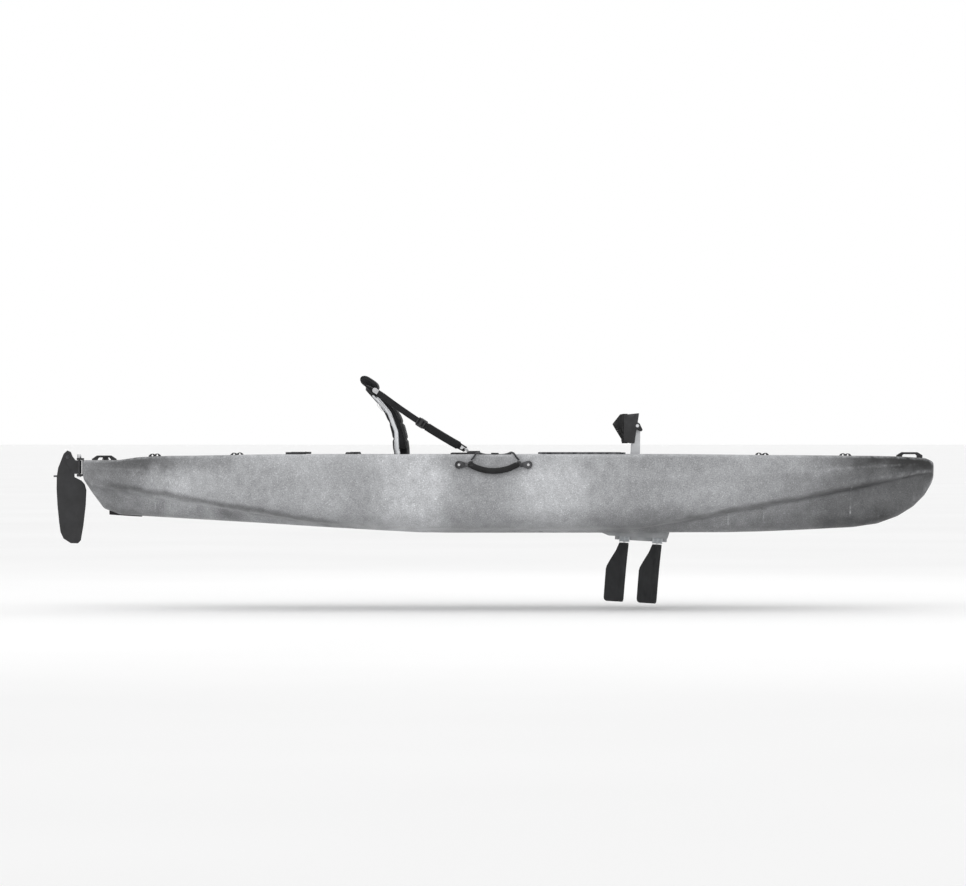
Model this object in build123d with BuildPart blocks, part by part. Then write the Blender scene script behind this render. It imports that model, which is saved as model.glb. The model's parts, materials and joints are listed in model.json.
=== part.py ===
from build123d import *

import os
from math import atan2, cos, degrees, pi, radians, sin, tan

# A sit-on-top pedal boat: a rotomoulded kayak hull with a folding seat, a two-fin pedal drive
# and a kick-up rudder. Frame: +X forward, +Y to port, +Z up, millimetres. The origin is on the
# flat of the keel, at the middle of the length.

os.makedirs("parts", exist_ok=True)

SIDES = {"left": 1, "right": -1}  # port is +Y
RUN_FIT = 0.05  # radial clearance of a pin that turns in its hole
BODY_GAP = 1.0  # between pieces that move past each other

# ---------------------------------------------------------------- hull form
STERN_X = -1829.0  # flat transom, where the rudder bracket bolts on
BOW_X = 1824.0  # small flat at the tip of the stem
HALF_BEAM = 432.0
DEPTH = 335.0  # keel flat to deck amidships
SHOULDER_Z = 232.0  # crease along the side, where the hull is widest
TUMBLE = 22.0  # how far the deck edge stands in from the shoulder
DECK_EDGE_R = 12.0
WALL = 5.5
KEEL_CUT = 1.5  # how much of the keel the flat takes off
STATIONS = 30

STEM_X = 1450.0  # where the round stem starts
STEM_BASE_Z = 22.0
STEM_TIP_Z = 285.0
KEEL_RISE_BOW_X = 850.0
KEEL_RISE_STERN_X = -340.0
HEEL_X = -1716.0  # foot of the raked stern
HEEL_Z = 80.0
TRANSOM_LOW_Z = 230.0
LOFT_MIN_HALF_BEAM = 14.0  # the moulding is solid where the stem is narrower than this

# ---------------------------------------------------------------- spaces moulded into the deck
COCKPIT_AFT_X = -640.0
COCKPIT_FORE_X = 960.0
COCKPIT_HALF_W = 292.0
COCKPIT_FORE_HALF_W = 190.0
COCKPIT_TAPER_X = 420.0  # where the cockpit starts to narrow
SEAT_FLOOR_Z = 150.0
FOOT_FLOOR_Z = 95.0
FOOT_AFT_X = 60.0
SPINE_HALF_W = 105.0  # raised middle of the floor, between the foot wells
SPINE_FORE_X = 790.0
POCKET_TOP_Z = DEPTH + 15.0
POCKET_DRAFT = 6.0  # degrees
POCKET_CORNER_R = 60.0

WELL_AFT_X = 372.0  # drive well, open through the bottom
WELL_FORE_X = 706.0
WELL_HALF_W = 56.0
WELL_CORNER_R = 30.0

STERN_WELL_AFT_X = -1530.0
STERN_WELL_FORE_X = -735.0
STERN_WELL_AFT_HALF_W = 110.0
STERN_WELL_FORE_HALF_W = 225.0
STERN_WELL_FLOOR_Z = 195.0

BOW_WELL_AFT_X = 1070.0
BOW_WELL_FORE_X = 1470.0
BOW_WELL_AFT_HALF_W = 180.0
BOW_WELL_FORE_HALF_W = 80.0
BOW_WELL_FLOOR_Z = 235.0

CART_SCUPPER_X = -860.0
CART_SCUPPER_Y = 110.0
CART_SCUPPER_R = 16.0
FLOOR_SCUPPER_R = 12.0
FLOOR_SCUPPERS = [(860.0, 120.0), (130.0, 200.0)]

# ---------------------------------------------------------------- deck fittings
HATCH_X = 170.0
HATCH_HOLE_R = 76.0
HATCH_FLANGE_R = 95.0
HATCH_FLANGE_T = 5.0
HATCH_NECK_R = 70.0  # clear hole through the neck
HATCH_NECK_DEPTH = 25.0
HATCH_RIM_IN_R = 78.0
HATCH_RIM_OUT_R = 82.0
HATCH_RIM_H = 18.0  # above the floor
HATCH_GASKET_T = 2.0
HATCH_LID_R = 88.0
HATCH_LID_T = 6.0
HATCH_BAR_W = 16.0
HATCH_BAR_H = 14.0

ROD_HOLDER_X = -905.0
ROD_HOLDER_Y = 300.0
ROD_HOLDER_BORE_R = 21.0
ROD_HOLDER_WALL = 3.0
ROD_HOLDER_LEAN = 28.0  # degrees, top aft
ROD_HOLDER_LENGTH = 215.0
ROD_HOLDER_FLANGE_R = 36.0
ROD_HOLDER_FLANGE_T = 4.0

TRACK_AFT_X = 128.0
TRACK_FORE_X = 489.0
TRACK_Y = 350.0
TRACK_W = 32.0
TRACK_H = 12.0
TRACK_PROUD = 8.0
TRACK_SLOT_W = 8.0
TRACK_CHANNEL_W = 18.0
TRACK_LIP_T = 2.5
TRACK_FLOOR_T = 3.0

BOW_HANDLE_X = (1664.0, 1775.0)
BOW_HANDLE_RISE = 18.0
STERN_HANDLE_X = (-1793.0, -1688.0)
STERN_HANDLE_RISE = 20.0
END_HANDLE_W = 30.0
END_HANDLE_T = 9.0
END_HANDLE_FOOT = 24.0

TAB_XS = {"aft": -214.0, "fore": 78.0}  # the screw of each tab
TAB_Z = 291.0
TAB_R = 17.0
TAB_OUT_Y = 430.0
GRIP_R = 12.5
GRIP_SAG = 26.0
GRIP_PIN_R = 4.0
GRIP_Y = 440.0  # line that the side handle swings about
SCREW_HEAD_R = 5.5
SCREW_HEAD_H = 2.5

PADEYE_SPOTS = [(-1523.0, 155.0), (-1170.0, 245.0), (1086.0, 240.0), (1444.0, 140.0)]
PADEYE_LENGTH = 34.0
PADEYE_W = 12.0
PADEYE_H = 10.0
PADEYE_HOLE_R = 4.0
DOME_X = -670.0
DOME_Y = 330.0
DOME_HALF_L = 27.0
DOME_HALF_W = 12.0
DOME_H = 9.0

BUNGEE_R = 4.0
KEEPER_RECESS_X = (-152.0, 28.0)
KEEPER_RECESS_Y = (280.0, 392.0)
KEEPER_FLOOR_Z = DEPTH - 14.0
KEEPER_HOOK_X = -62.0
KEEPER_HOOK_Y = 330.0
KEEPER_CAP_R = 16.0
KEEPER_POST_R = 12.0
KEEPER_POST_H = 15.0
KEEPER_CAP_T = 4.0
CORD_LUG_XS = (-163.0, 39.0)
CORD_LUG_W = 16.0
CORD_LUG_Z = (285.0, 306.0)
CORD_LUG_OUT_Y = 426.0

KEEL_GUARD_X = (-1717.0, -1578.0)
KEEL_GUARD_T = 4.0
KEEL_GUARD_HALF_W = 24.0

PLUG_X = -1740.0
PLUG_Y = 62.0
PLUG_R = 15.0
PLUG_SHANK_R = 9.0
PLUG_LENGTH = 14.0

# ---------------------------------------------------------------- seat
SEAT_PIVOT_X = -455.0
SEAT_PIVOT_Z = 190.0
SEAT_TUBE_R = 11.0
SEAT_TUBE_Y = 205.0
SEAT_EYE_R = 14.0
SEAT_EYE_W = 2 * SEAT_TUBE_R + 1
SEAT_PIN_R = 5.0
SEAT_CHEEK_T = 4.0
SEAT_BRACKET_L = 56.0
SEAT_PANEL_HALF_W = 222.0
SEAT_PANEL_LOW_HALF_W = 186.0
SEAT_PANEL_BREAK_Z = 352.0
HEAD_PAD_HALF_W = 180.0
HEAD_PAD_T = 41.0
HEAD_PAD_L = 100.0
HEAD_PAD_CENTRE = (-599.0, 638.0)
HEAD_PAD_SLOPE = 34.0
CUSHION_X = (-425.0, 10.0)
CUSHION_HALF_W = 178.0
CUSHION_T = 36.0

STRAP_TOP = (-572.0, 238.0, 606.0)  # where the strap turns on the seat back
STRAP_BAR = (-186.0, 340.0, 354.0)  # where its hook bears on the anchor ring
STRAP_W = 25.0
STRAP_T = 3.0
STRAP_PIN_R = 4.0
LINK_R = 11.0
LINK_L = 28.0
SLEEVE_SPAN = (268.0, 440.0)  # along the strap, from its top pivot
SLEEVE_W = 34.0
SLEEVE_T = 14.0
BUCKLE_SPAN = (226.0, 264.0)
BUCKLE_W = 38.0
BUCKLE_T = 12.0
RING_WIRE = 4.0
RING_WINDOW_L = 16.0
RING_W = 24.0
HOOK_T = 4.0
HOOK_W = 8.0
HOOK_NOSE = 12.0
HOOK_GAP = 0.5
ANCHOR_X = (-178.0, -128.0)
ANCHOR_W = 34.0
ANCHOR_H = 13.0
ANCHOR_PLATE_AFT_X = -250.0
ANCHOR_PLATE_H = 6.0

# ---------------------------------------------------------------- pedal drive
DRIVE_PITCH = 3.2  # degrees, nose down
DRIVE_X = 566.0  # middle of the line that the fins swing about
DRIVE_Z = -25.0
FIN_SPACING = 142.0
SPROCKET_R = 22.0
SPROCKET_L = 44.0
JOURNAL_R = 8.0
JOURNAL_L = 14.0
LUG_R = 13.0
MAST_R = 5.0
MAST_L = 270.0
FIN_GAP = 2.5  # between the sprocket and the root of the fin

CRANK_X = 537.0
CRANK_Z = 185.0
PEDAL_X = 545.0
PEDAL_Z = 456.0
AXLE_R = 8.0
AXLE_HALF_L = 82.0
SLEEVE_R = 14.0
CRANK_Y = 66.0  # inner face of the arm
CRANK_T = 12.0
CRANK_HUB_R = 21.0
CRANK_EYE_R = 16.0
DRUM_R = 28.0
DRUM_Y = (5.0, 34.0)
HOUSING_HALF_W = 46.0
HEAD_HALF_W = 44.0
HEAD_WALL = 8.0
FLANGE_HALF_W = 68.0
FLANGE_T = 6.0
FLANGE_MARGIN = 12.0

SPINDLE_R = 7.0
PEDAL_IN_Y = 84.0
PEDAL_OUT_Y = 196.0
PEDAL_PLATE_T = 9.0
PEDAL_GUARD_T = 4.0
PEDAL_SLEEVE_R = 13.0
PEDAL_STRAP_T = 3.0
PEDAL_STRAP_AFT_X = 447.0
PEDAL_GUARD_AFT_X = 487.0
PEDAL_TOP_Z = 509.0
PEDAL_LOW_Z = 381.0
STRAP_EDGE = [(482.0, 507.0), (PEDAL_STRAP_AFT_X, 464.0), (489.0, 396.0), (489.0, PEDAL_LOW_Z)]
STRAP_SLOTS = [((479.0, 428.0), 42.0), ((491.0, 443.0), 30.0)]  # middle and length
STRAP_SLOT_SLOPE = -58.0  # degrees, along the lower edge of the strap

LATCHES = {"rear": (384.0, 1), "front": (694.0, -1)}  # pivot, and the way its lever lies
LATCH_Z = 168.0
LATCH_PIN_R = 4.0
LATCH_R = 9.0
LATCH_LENGTH = 38.0
LATCH_HALF_W = 9.0
LATCH_LUG_T = 4.0

# ---------------------------------------------------------------- rudder and steering
PINTLE_X = -1848.0
PINTLE_R = 5.0
PINTLE_CAP_R = 9.0
PINTLE_CAP_H = 16.0
BRACKET_Z = (240.0, 318.0)
BRACKET_HALF_W = 26.0
BRACKET_PLATE_T = 4.0
BRACKET_LUG_T = 9.0
BRACKET_LUG_R = 11.0
BARREL_R = 10.0
CHEEK_T = 4.0
BLADE_T = 8.0
BLADE_SIDE_GAP = 0.5
BOLT_X = -1897.0
BOLT_Z = 322.0
BOLT_R = 5.0
KNOB_R = 4.0
KNOB_AFT_X = -1958.0
KNOB_Z = 240.0

STEER_X = 20.0
STEER_Y = 232.0
STEER_Z = 290.0
STEER_PIN_R = 5.0
STEER_ARM = 60.0
STEER_HUB_R = 14.0
STEER_KNOB_R = 11.0
STEER_PLATE_T = 8.0
STEER_BASE_L = 48.0


# ---------------------------------------------------------------- hull lines
def ease(value, start, end):
    """0 before start, 1 after end, and a smooth step between them."""
    t = min(1.0, max(0.0, (value - start) / (end - start)))
    return t * t * (3 - 2 * t)


def half_beam(x):
    if x > 0:
        return HALF_BEAM * (1 - (x / (BOW_X + 6)) ** 2.2) ** 0.75
    return HALF_BEAM * (1 - (x / (STERN_X - 37)) ** 2.4) ** 0.70


def keel_z(x):
    if x > STEM_X:
        u = (x - STEM_X) / (BOW_X + 6 - STEM_X)
        return STEM_TIP_Z - (STEM_TIP_Z - STEM_BASE_Z) * (1 - u * u) ** 0.5
    if x > KEEL_RISE_BOW_X:
        return STEM_BASE_Z * ((x - KEEL_RISE_BOW_X) / (STEM_X - KEEL_RISE_BOW_X)) ** 1.6
    if x > KEEL_RISE_STERN_X:
        return 0.0
    if x > HEEL_X:
        return HEEL_Z * ((KEEL_RISE_STERN_X - x) / (KEEL_RISE_STERN_X - HEEL_X)) ** 1.05
    return HEEL_Z + (TRANSOM_LOW_Z - HEEL_Z) * ((HEEL_X - x) / (HEEL_X - STERN_X)) ** 1.2


def sheer_z(x):
    if x > 0:
        tip = max(0.0, (x - 1780) / (BOW_X - 1780))
        drop = 4 * ease(x, 700, 1100) + 4 * ease(x, 1100, 1650) + 9 * ease(x, 1600, BOW_X)
        return DEPTH - drop - 20 * tip**2
    return DEPTH - 8 * ease(-x, 900, 1500) - 18 * ease(-x, 1530, 1690)


def shoulder_z(x):
    if x > 0:
        return SHOULDER_Z + 58 * ease(x, 650, 1800)
    return SHOULDER_Z + 42 * ease(-x, 1000, 1800)


def groove_z(x):
    """Height of the long hollow between the keel body and the side, which fades out amidships."""
    if x > 0:
        rise = 214 * max(0.0, (x - 520) / 1130) ** 1.15
    else:
        rise = 190 * max(0.0, (-x - 620) / 1209) ** 1.1
    lowest = keel_z(x) + 8
    highest = max(lowest, shoulder_z(x) - 40)
    return min(highest, max(lowest, 10 + rise))


def underside_points(x, inset):
    """Half of the section at x, from the keel to the upper part of the side."""
    beam = half_beam(x) - inset
    keel = keel_z(x) - KEEL_CUT + inset
    groove = groove_z(x) + inset
    groove_y = beam * (0.50 + 0.18 * ease(abs(x), 1300, 1800))
    lift = shoulder_z(x) - groove
    return [
        (0.0, keel),
        (0.55 * groove_y, keel + 0.05 * (groove - keel)),
        (0.93 * groove_y, keel + 0.45 * (groove - keel)),
        (groove_y + 0.03 * beam, groove),
        (groove_y + 0.45 * (beam - groove_y), groove + 0.05 * lift),
        (groove_y + 0.82 * (beam - groove_y), groove + 0.20 * lift),
        (groove_y + 0.97 * (beam - groove_y), groove + 0.50 * lift),
    ]


def hull_section(x, inset=0.0):
    low = underside_points(x, inset)
    beam = half_beam(x) - inset
    sheer = sheer_z(x) - inset
    round_r = DECK_EDGE_R * min(1.0, beam / 100)
    edge_y = beam - TUMBLE * min(1.0, beam / 200)
    shoulder = (beam, shoulder_z(x))
    turn = (edge_y + 0.2 * round_r, sheer - round_r)
    middle = (edge_y - 0.15 * round_r, sheer - 0.25 * round_r)
    deck = (edge_y - round_r, sheer)

    def flip(point):
        return (-point[0], point[1])

    with BuildSketch(Plane.YZ.offset(x)) as section:
        with BuildLine():
            Spline(*[flip(p) for p in reversed(low)], *low[1:])
            Line(low[-1], shoulder)
            Line(shoulder, turn)
            ThreePointArc(turn, middle, deck)
            Line(deck, flip(deck))
            ThreePointArc(flip(deck), flip(middle), flip(turn))
            Line(flip(turn), flip(shoulder))
            Line(flip(shoulder), flip(low[-1]))
        make_face()
    return section.sketch


def hull_form(inset=0.0):
    """The closed form of the hull, or that form moved inwards by inset."""
    span = BOW_X - STERN_X
    xs = [STERN_X + span * (1 - cos(pi * i / STATIONS)) / 2 for i in range(STATIONS + 1)]
    if inset:
        xs = [x for x in xs if half_beam(x) > LOFT_MIN_HALF_BEAM + inset]
        xs[0] += inset
    with BuildPart() as form:
        for x in xs:
            add(hull_section(x, inset))
        loft(ruled=True)
        split(bisect_by=Plane.XY.offset(inset), keep=Keep.TOP)
    return form.part


# ---------------------------------------------------------------- hull spaces
def pocket(outline, floor_z, grow, corner_r=POCKET_CORNER_R, draft=POCKET_DRAFT):
    """A tapered space from above the deck down to floor_z, or that space grown by the wall around it."""
    facing_down = Plane((0, 0, POCKET_TOP_Z), x_dir=(1, 0, 0), z_dir=(0, 0, -1))
    with BuildPart() as space:
        with BuildSketch(facing_down):
            with BuildLine():
                FilletPolyline(*outline, radius=corner_r, close=True)
            make_face()
            if grow:
                offset(amount=grow)
        extrude(amount=POCKET_TOP_Z - floor_z + grow, taper=draft)
    return space.part


def both_sides(half):
    """A closed outline from the points of its port half, which run from bow to stern."""
    return half + [(x, -y) for x, y in reversed(half)]


def cockpit_outline():
    return both_sides(
        [
            (COCKPIT_FORE_X, COCKPIT_FORE_HALF_W),
            (COCKPIT_TAPER_X, COCKPIT_HALF_W),
            (COCKPIT_AFT_X, COCKPIT_HALF_W),
        ]
    )


def foot_space(grow):
    """The two foot wells, one each side of the raised spine, joined ahead of it."""
    edge = tan(radians(POCKET_DRAFT)) * (DEPTH - FOOT_FLOOR_Z)
    outline = both_sides(
        [
            (COCKPIT_FORE_X, COCKPIT_FORE_HALF_W),
            (COCKPIT_TAPER_X, COCKPIT_HALF_W),
            (FOOT_AFT_X - edge, COCKPIT_HALF_W),
        ]
    )
    spine_length = SPINE_FORE_X - COCKPIT_AFT_X
    with BuildPart() as space:
        add(pocket(outline, FOOT_FLOOR_Z, grow))
        with BuildSketch(Plane.XY.offset(POCKET_TOP_Z)):
            with Locations(((SPINE_FORE_X + COCKPIT_AFT_X) / 2, 0)):
                RectangleRounded(spine_length - 2 * grow, 2 * (SPINE_HALF_W - grow), POCKET_CORNER_R - grow)
        extrude(amount=-(POCKET_TOP_Z - FOOT_FLOOR_Z + 2 * grow), mode=Mode.SUBTRACT)
    return space.part


def upright_spaces(grow):
    """The spaces with upright sides: drive well, scuppers, and the recesses of tracks and keepers."""
    low_z = -DEPTH
    with BuildPart() as space:
        with BuildSketch(Plane.XY.offset(low_z)):
            with Locations(((WELL_AFT_X + WELL_FORE_X) / 2, 0)):
                well_l = WELL_FORE_X - WELL_AFT_X + 2 * grow
                RectangleRounded(well_l, 2 * (WELL_HALF_W + grow), WELL_CORNER_R + grow)
            for side in SIDES.values():
                for x, y in FLOOR_SCUPPERS:
                    with Locations((x, side * y)):
                        Circle(FLOOR_SCUPPER_R + grow)
        extrude(amount=FOOT_FLOOR_Z + 20 - low_z)
        with BuildSketch(Plane.XY.offset(low_z)):
            with Locations(((WELL_AFT_X + WELL_FORE_X) / 2, 0)):
                RectangleRounded(well_l, 2 * (WELL_HALF_W + grow), WELL_CORNER_R + grow)
            for side in SIDES.values():
                with Locations((CART_SCUPPER_X, side * CART_SCUPPER_Y)):
                    Circle(CART_SCUPPER_R + grow)
        extrude(amount=STERN_WELL_FLOOR_Z + 20 - low_z)
        with BuildSketch(Plane.XY.offset(POCKET_TOP_Z)):
            for side in SIDES.values():
                with Locations(((TRACK_AFT_X + TRACK_FORE_X) / 2, side * TRACK_Y)):
                    Rectangle(TRACK_FORE_X - TRACK_AFT_X + 2 * grow, TRACK_W + 2 * grow)
        extrude(amount=-(POCKET_TOP_Z - DEPTH - TRACK_PROUD + TRACK_H + grow))
        with BuildSketch(Plane.XY.offset(POCKET_TOP_Z)):
            aft, fore = KEEPER_RECESS_X
            inner, outer = KEEPER_RECESS_Y
            for side in SIDES.values():
                with Locations(((aft + fore) / 2, side * (inner + outer) / 2)):
                    Rectangle(fore - aft + 2 * grow, outer - inner + 2 * grow)
        extrude(amount=-(POCKET_TOP_Z - KEEPER_FLOOR_Z + grow))
    return space.part


def deck_spaces(grow=0.0):
    stern_well = both_sides(
        [(STERN_WELL_FORE_X, STERN_WELL_FORE_HALF_W), (STERN_WELL_AFT_X, STERN_WELL_AFT_HALF_W)]
    )
    bow_well = both_sides(
        [(BOW_WELL_FORE_X, BOW_WELL_FORE_HALF_W), (BOW_WELL_AFT_X, BOW_WELL_AFT_HALF_W)]
    )
    with BuildPart() as spaces:
        add(pocket(cockpit_outline(), SEAT_FLOOR_Z, grow))
        add(foot_space(grow))
        add(pocket(stern_well, STERN_WELL_FLOOR_Z, grow, corner_r=50))
        add(pocket(bow_well, BOW_WELL_FLOOR_Z, grow, corner_r=40))
        add(upright_spaces(grow))
    return spaces.part


def rod_holder_plane(side):
    """At the deck, with z along the holder and out of it."""
    lean = radians(ROD_HOLDER_LEAN)
    origin = (ROD_HOLDER_X, side * ROD_HOLDER_Y, sheer_z(ROD_HOLDER_X))
    return Plane(origin, x_dir=(0, 1, 0), z_dir=(-sin(lean), 0, cos(lean)))


outer_form = hull_form()
deck_space = deck_spaces()

with BuildPart() as cavity:
    add(hull_form(WALL))
    add(deck_spaces(WALL), mode=Mode.SUBTRACT)

with BuildPart() as moulding:
    add(outer_form)
    add(deck_space, mode=Mode.SUBTRACT)
    add(cavity.part, mode=Mode.SUBTRACT)
    with BuildSketch(Plane.XY.offset(SEAT_FLOOR_Z - 2 * WALL)):
        with Locations((HATCH_X, 0)):
            Circle(HATCH_HOLE_R)
    extrude(amount=3 * WALL, mode=Mode.SUBTRACT)
    for side in SIDES.values():
        with BuildSketch(rod_holder_plane(side).offset(-6 * WALL)):
            Circle(ROD_HOLDER_BORE_R + ROD_HOLDER_WALL)
        extrude(amount=12 * WALL, mode=Mode.SUBTRACT)
        with BuildSketch(Plane.XY.offset(sheer_z(PLUG_X) - 3 * WALL)):
            with Locations((PLUG_X, PLUG_Y)):
                Circle(PLUG_SHANK_R + RUN_FIT)
        extrude(amount=5 * WALL, mode=Mode.SUBTRACT)


def save(name, part):
    part.label = name
    export_step(part, f"parts/{name}.step")


def side_of(y):
    """The side-view plane, whose axes are X and Z, at this y."""
    return Plane.XZ.offset(-y)


# ---------------------------------------------------------------- pieces of the hull
# The moulding is one body, divided into touching pieces at the feet of its inner walls, so that
# none of the pieces reaches across a space in the deck.
PAST_HULL = 2 * HALF_BEAM
CUT_IN = 1.0  # how far inside the foot of a wall each dividing plane stands
HATCH_HALF_CUT = 46.0  # the square left free inside the neck of the hatch


def draft_in(floor_z):
    """How far the foot of a drafted wall stands in from the outline of its pocket."""
    return tan(radians(POCKET_DRAFT)) * (POCKET_TOP_Z - floor_z) + CUT_IN


def wall_foot(start, end, floor_z):
    """The y of the foot of the wall over the line from start to end, as a function of x."""
    slope = (end[1] - start[1]) / (end[0] - start[0])
    shift = draft_in(floor_z) * (1 + slope**2) ** 0.5
    return lambda x: start[1] + slope * (x - start[0]) - shift


def block_pieces(source, stations, inner, outer, low=-PAST_HULL, high=PAST_HULL):
    """The solids of source between two stations, two lines (y as a function of x) and two heights."""
    aft, fore = stations
    corners = [(aft, inner(aft)), (fore, inner(fore)), (fore, outer(fore)), (aft, outer(aft))]
    with BuildPart() as block:
        with BuildSketch(Plane.XY.offset(low)):
            with BuildLine():
                Polyline(*corners, close=True)
            make_face()
        extrude(amount=high - low)
    shared = source.intersect(block.part) or []
    shapes = shared if isinstance(shared, list) else [shared]
    return [solid for shape in shapes for solid in shape.solids() if solid.volume > 1]


def at_y(y):
    return lambda x: y


def mirrored(line):
    return lambda x: -line(x)


def band_pieces(source, stations, inner, outer, low=-PAST_HULL, high=PAST_HULL):
    """The same block on both sides of the centreline."""
    port = block_pieces(source, stations, inner, outer, low, high)
    return port + block_pieces(source, stations, mirrored(outer), mirrored(inner), low, high)


def floor_pieces(source, stations, foot, floor_z):
    """A pocket's floor from side to side, and apart from it the rounded corners that rise from it."""
    level = floor_z + CUT_IN / 2
    floor = block_pieces(source, stations, mirrored(foot), foot, high=level)
    return floor + block_pieces(source, stations, mirrored(foot), foot, low=level)


def slab(stations):
    """Everything between two stations."""
    return block_pieces(moulding.part, stations, at_y(-PAST_HULL), at_y(PAST_HULL))[0]


SEAT_AFT_CUT = COCKPIT_AFT_X + draft_in(SEAT_FLOOR_Z)
FOOT_AFT_CUT = FOOT_AFT_X + 2 * CUT_IN
FOOT_FORE_CUT = COCKPIT_FORE_X - draft_in(FOOT_FLOOR_Z)
STERN_AFT_CUT = STERN_WELL_AFT_X + draft_in(STERN_WELL_FLOOR_Z)
STERN_FORE_CUT = STERN_WELL_FORE_X - draft_in(STERN_WELL_FLOOR_Z)
BOW_AFT_CUT = BOW_WELL_AFT_X + draft_in(BOW_WELL_FLOOR_Z)
BOW_FORE_CUT = BOW_WELL_FORE_X - draft_in(BOW_WELL_FLOOR_Z)
STERN_DECK_STEP_X = -1690.0
PAST_ENDS = 2 * BOW_X

seat_foot = at_y(COCKPIT_HALF_W - draft_in(SEAT_FLOOR_Z))
leg_foot = at_y(COCKPIT_HALF_W - draft_in(FOOT_FLOOR_Z))
fore_foot = wall_foot(
    (COCKPIT_TAPER_X, COCKPIT_HALF_W), (COCKPIT_FORE_X, COCKPIT_FORE_HALF_W), FOOT_FLOOR_Z
)
stern_foot = wall_foot(
    (STERN_WELL_AFT_X, STERN_WELL_AFT_HALF_W),
    (STERN_WELL_FORE_X, STERN_WELL_FORE_HALF_W),
    STERN_WELL_FLOOR_Z,
)
bow_foot = wall_foot(
    (BOW_WELL_AFT_X, BOW_WELL_AFT_HALF_W),
    (BOW_WELL_FORE_X, BOW_WELL_FORE_HALF_W),
    BOW_WELL_FLOOR_Z,
)
spine_side = at_y(SPINE_HALF_W + CUT_IN)
past_side = at_y(PAST_HULL)

ends_and_bulkheads = [
    (-PAST_ENDS, STERN_DECK_STEP_X),
    (STERN_DECK_STEP_X, STERN_AFT_CUT),
    (STERN_FORE_CUT, SEAT_AFT_CUT),
    (FOOT_FORE_CUT, BOW_AFT_CUT),
    (BOW_FORE_CUT, PAST_ENDS),
]
hull_pieces = [slab(stations) for stations in ends_and_bulkheads]

pocket_floors = [
    ((STERN_AFT_CUT, STERN_FORE_CUT), stern_foot, STERN_WELL_FLOOR_Z),
    ((SEAT_AFT_CUT, FOOT_AFT_CUT), seat_foot, SEAT_FLOOR_Z),
    ((SPINE_FORE_X, FOOT_FORE_CUT), fore_foot, FOOT_FLOOR_Z),
    ((BOW_AFT_CUT, BOW_FORE_CUT), bow_foot, BOW_WELL_FLOOR_Z),
]
for stations, foot, floor_z in pocket_floors:
    section = slab(stations)
    hull_pieces += floor_pieces(section, stations, foot, floor_z)
    hull_pieces += band_pieces(section, stations, foot, past_side)

foot_level = FOOT_FLOOR_Z + CUT_IN / 2
for stations, foot in (
    ((FOOT_AFT_CUT, COCKPIT_TAPER_X), leg_foot),
    ((COCKPIT_TAPER_X, SPINE_FORE_X), fore_foot),
):
    section = slab(stations)
    hull_pieces += band_pieces(section, stations, foot, past_side)
    hull_pieces += band_pieces(section, stations, spine_side, foot, high=foot_level)
    hull_pieces += band_pieces(section, stations, spine_side, foot, low=foot_level)

spine = slab((FOOT_AFT_CUT, SPINE_FORE_X))
hatch_aft = HATCH_X - HATCH_HALF_CUT
hatch_fore = HATCH_X + HATCH_HALF_CUT
hatch_side = at_y(HATCH_HALF_CUT)
for stations in (
    (FOOT_AFT_CUT, hatch_aft),
    (hatch_fore, WELL_AFT_X),
    (WELL_AFT_X, WELL_FORE_X),
    (WELL_FORE_X, SPINE_FORE_X),
):
    hull_pieces += block_pieces(spine, stations, mirrored(spine_side), spine_side)
hull_pieces += band_pieces(spine, (hatch_aft, hatch_fore), hatch_side, spine_side)
hull_pieces += block_pieces(spine, (hatch_aft, hatch_fore), mirrored(hatch_side), hatch_side)

with BuildPart() as hull:
    add(hull_pieces, mode=Mode.REPLACE)
divided = sum(solid.volume for solid in hull_pieces)
print("hull pieces", len(hull_pieces), "volume", round(divided), "whole", round(moulding.part.volume))
save("hull", hull.part)


# ---------------------------------------------------------------- handles
def end_handle(span, rise):
    """A low arched carrying handle on the centreline of the deck, with a foot at each end."""
    aft, fore = span
    low = min(sheer_z(aft), sheer_z(fore)) - WALL / 2
    deck = max(sheer_z(aft), sheer_z(fore))
    top = deck + rise
    outside = [
        (aft, low),
        (aft, deck + 5),
        (aft + 22, top),
        (fore - 22, top),
        (fore, deck + 5),
        (fore, low),
    ]
    inside = [
        (aft + END_HANDLE_FOOT, low),
        (aft + END_HANDLE_FOOT, deck + 4),
        (aft + 30, top - END_HANDLE_T),
        (fore - 30, top - END_HANDLE_T),
        (fore - END_HANDLE_FOOT, deck + 4),
        (fore - END_HANDLE_FOOT, low),
    ]
    with BuildPart() as handle:
        with BuildSketch(Plane.XZ):
            with BuildLine():
                Polyline(*outside, close=True)
            make_face()
            with BuildLine():
                Polyline(*inside, close=True)
            make_face(mode=Mode.SUBTRACT)
        extrude(amount=END_HANDLE_W / 2, both=True)
        long_edges = handle.edges().filter_by(Axis.Y).group_by(Axis.Z)[-1]
        fillet(long_edges, END_HANDLE_T)
        add(outer_form, mode=Mode.SUBTRACT)
    return handle.part


save("bow_handle", end_handle(BOW_HANDLE_X, BOW_HANDLE_RISE))
save("stern_handle", end_handle(STERN_HANDLE_X, STERN_HANDLE_RISE))

TAB_IN_Y = HALF_BEAM - TUMBLE - 2
TAB_INWARD = {"aft": 1, "fore": -1}  # the way from each tab to the middle of the handle
EYE_OFFSET = 32.0
EYE_R = 9.0
EYE_W = 12.0
EYE_XS = {end: TAB_XS[end] + TAB_INWARD[end] * EYE_OFFSET for end in TAB_XS}

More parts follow.
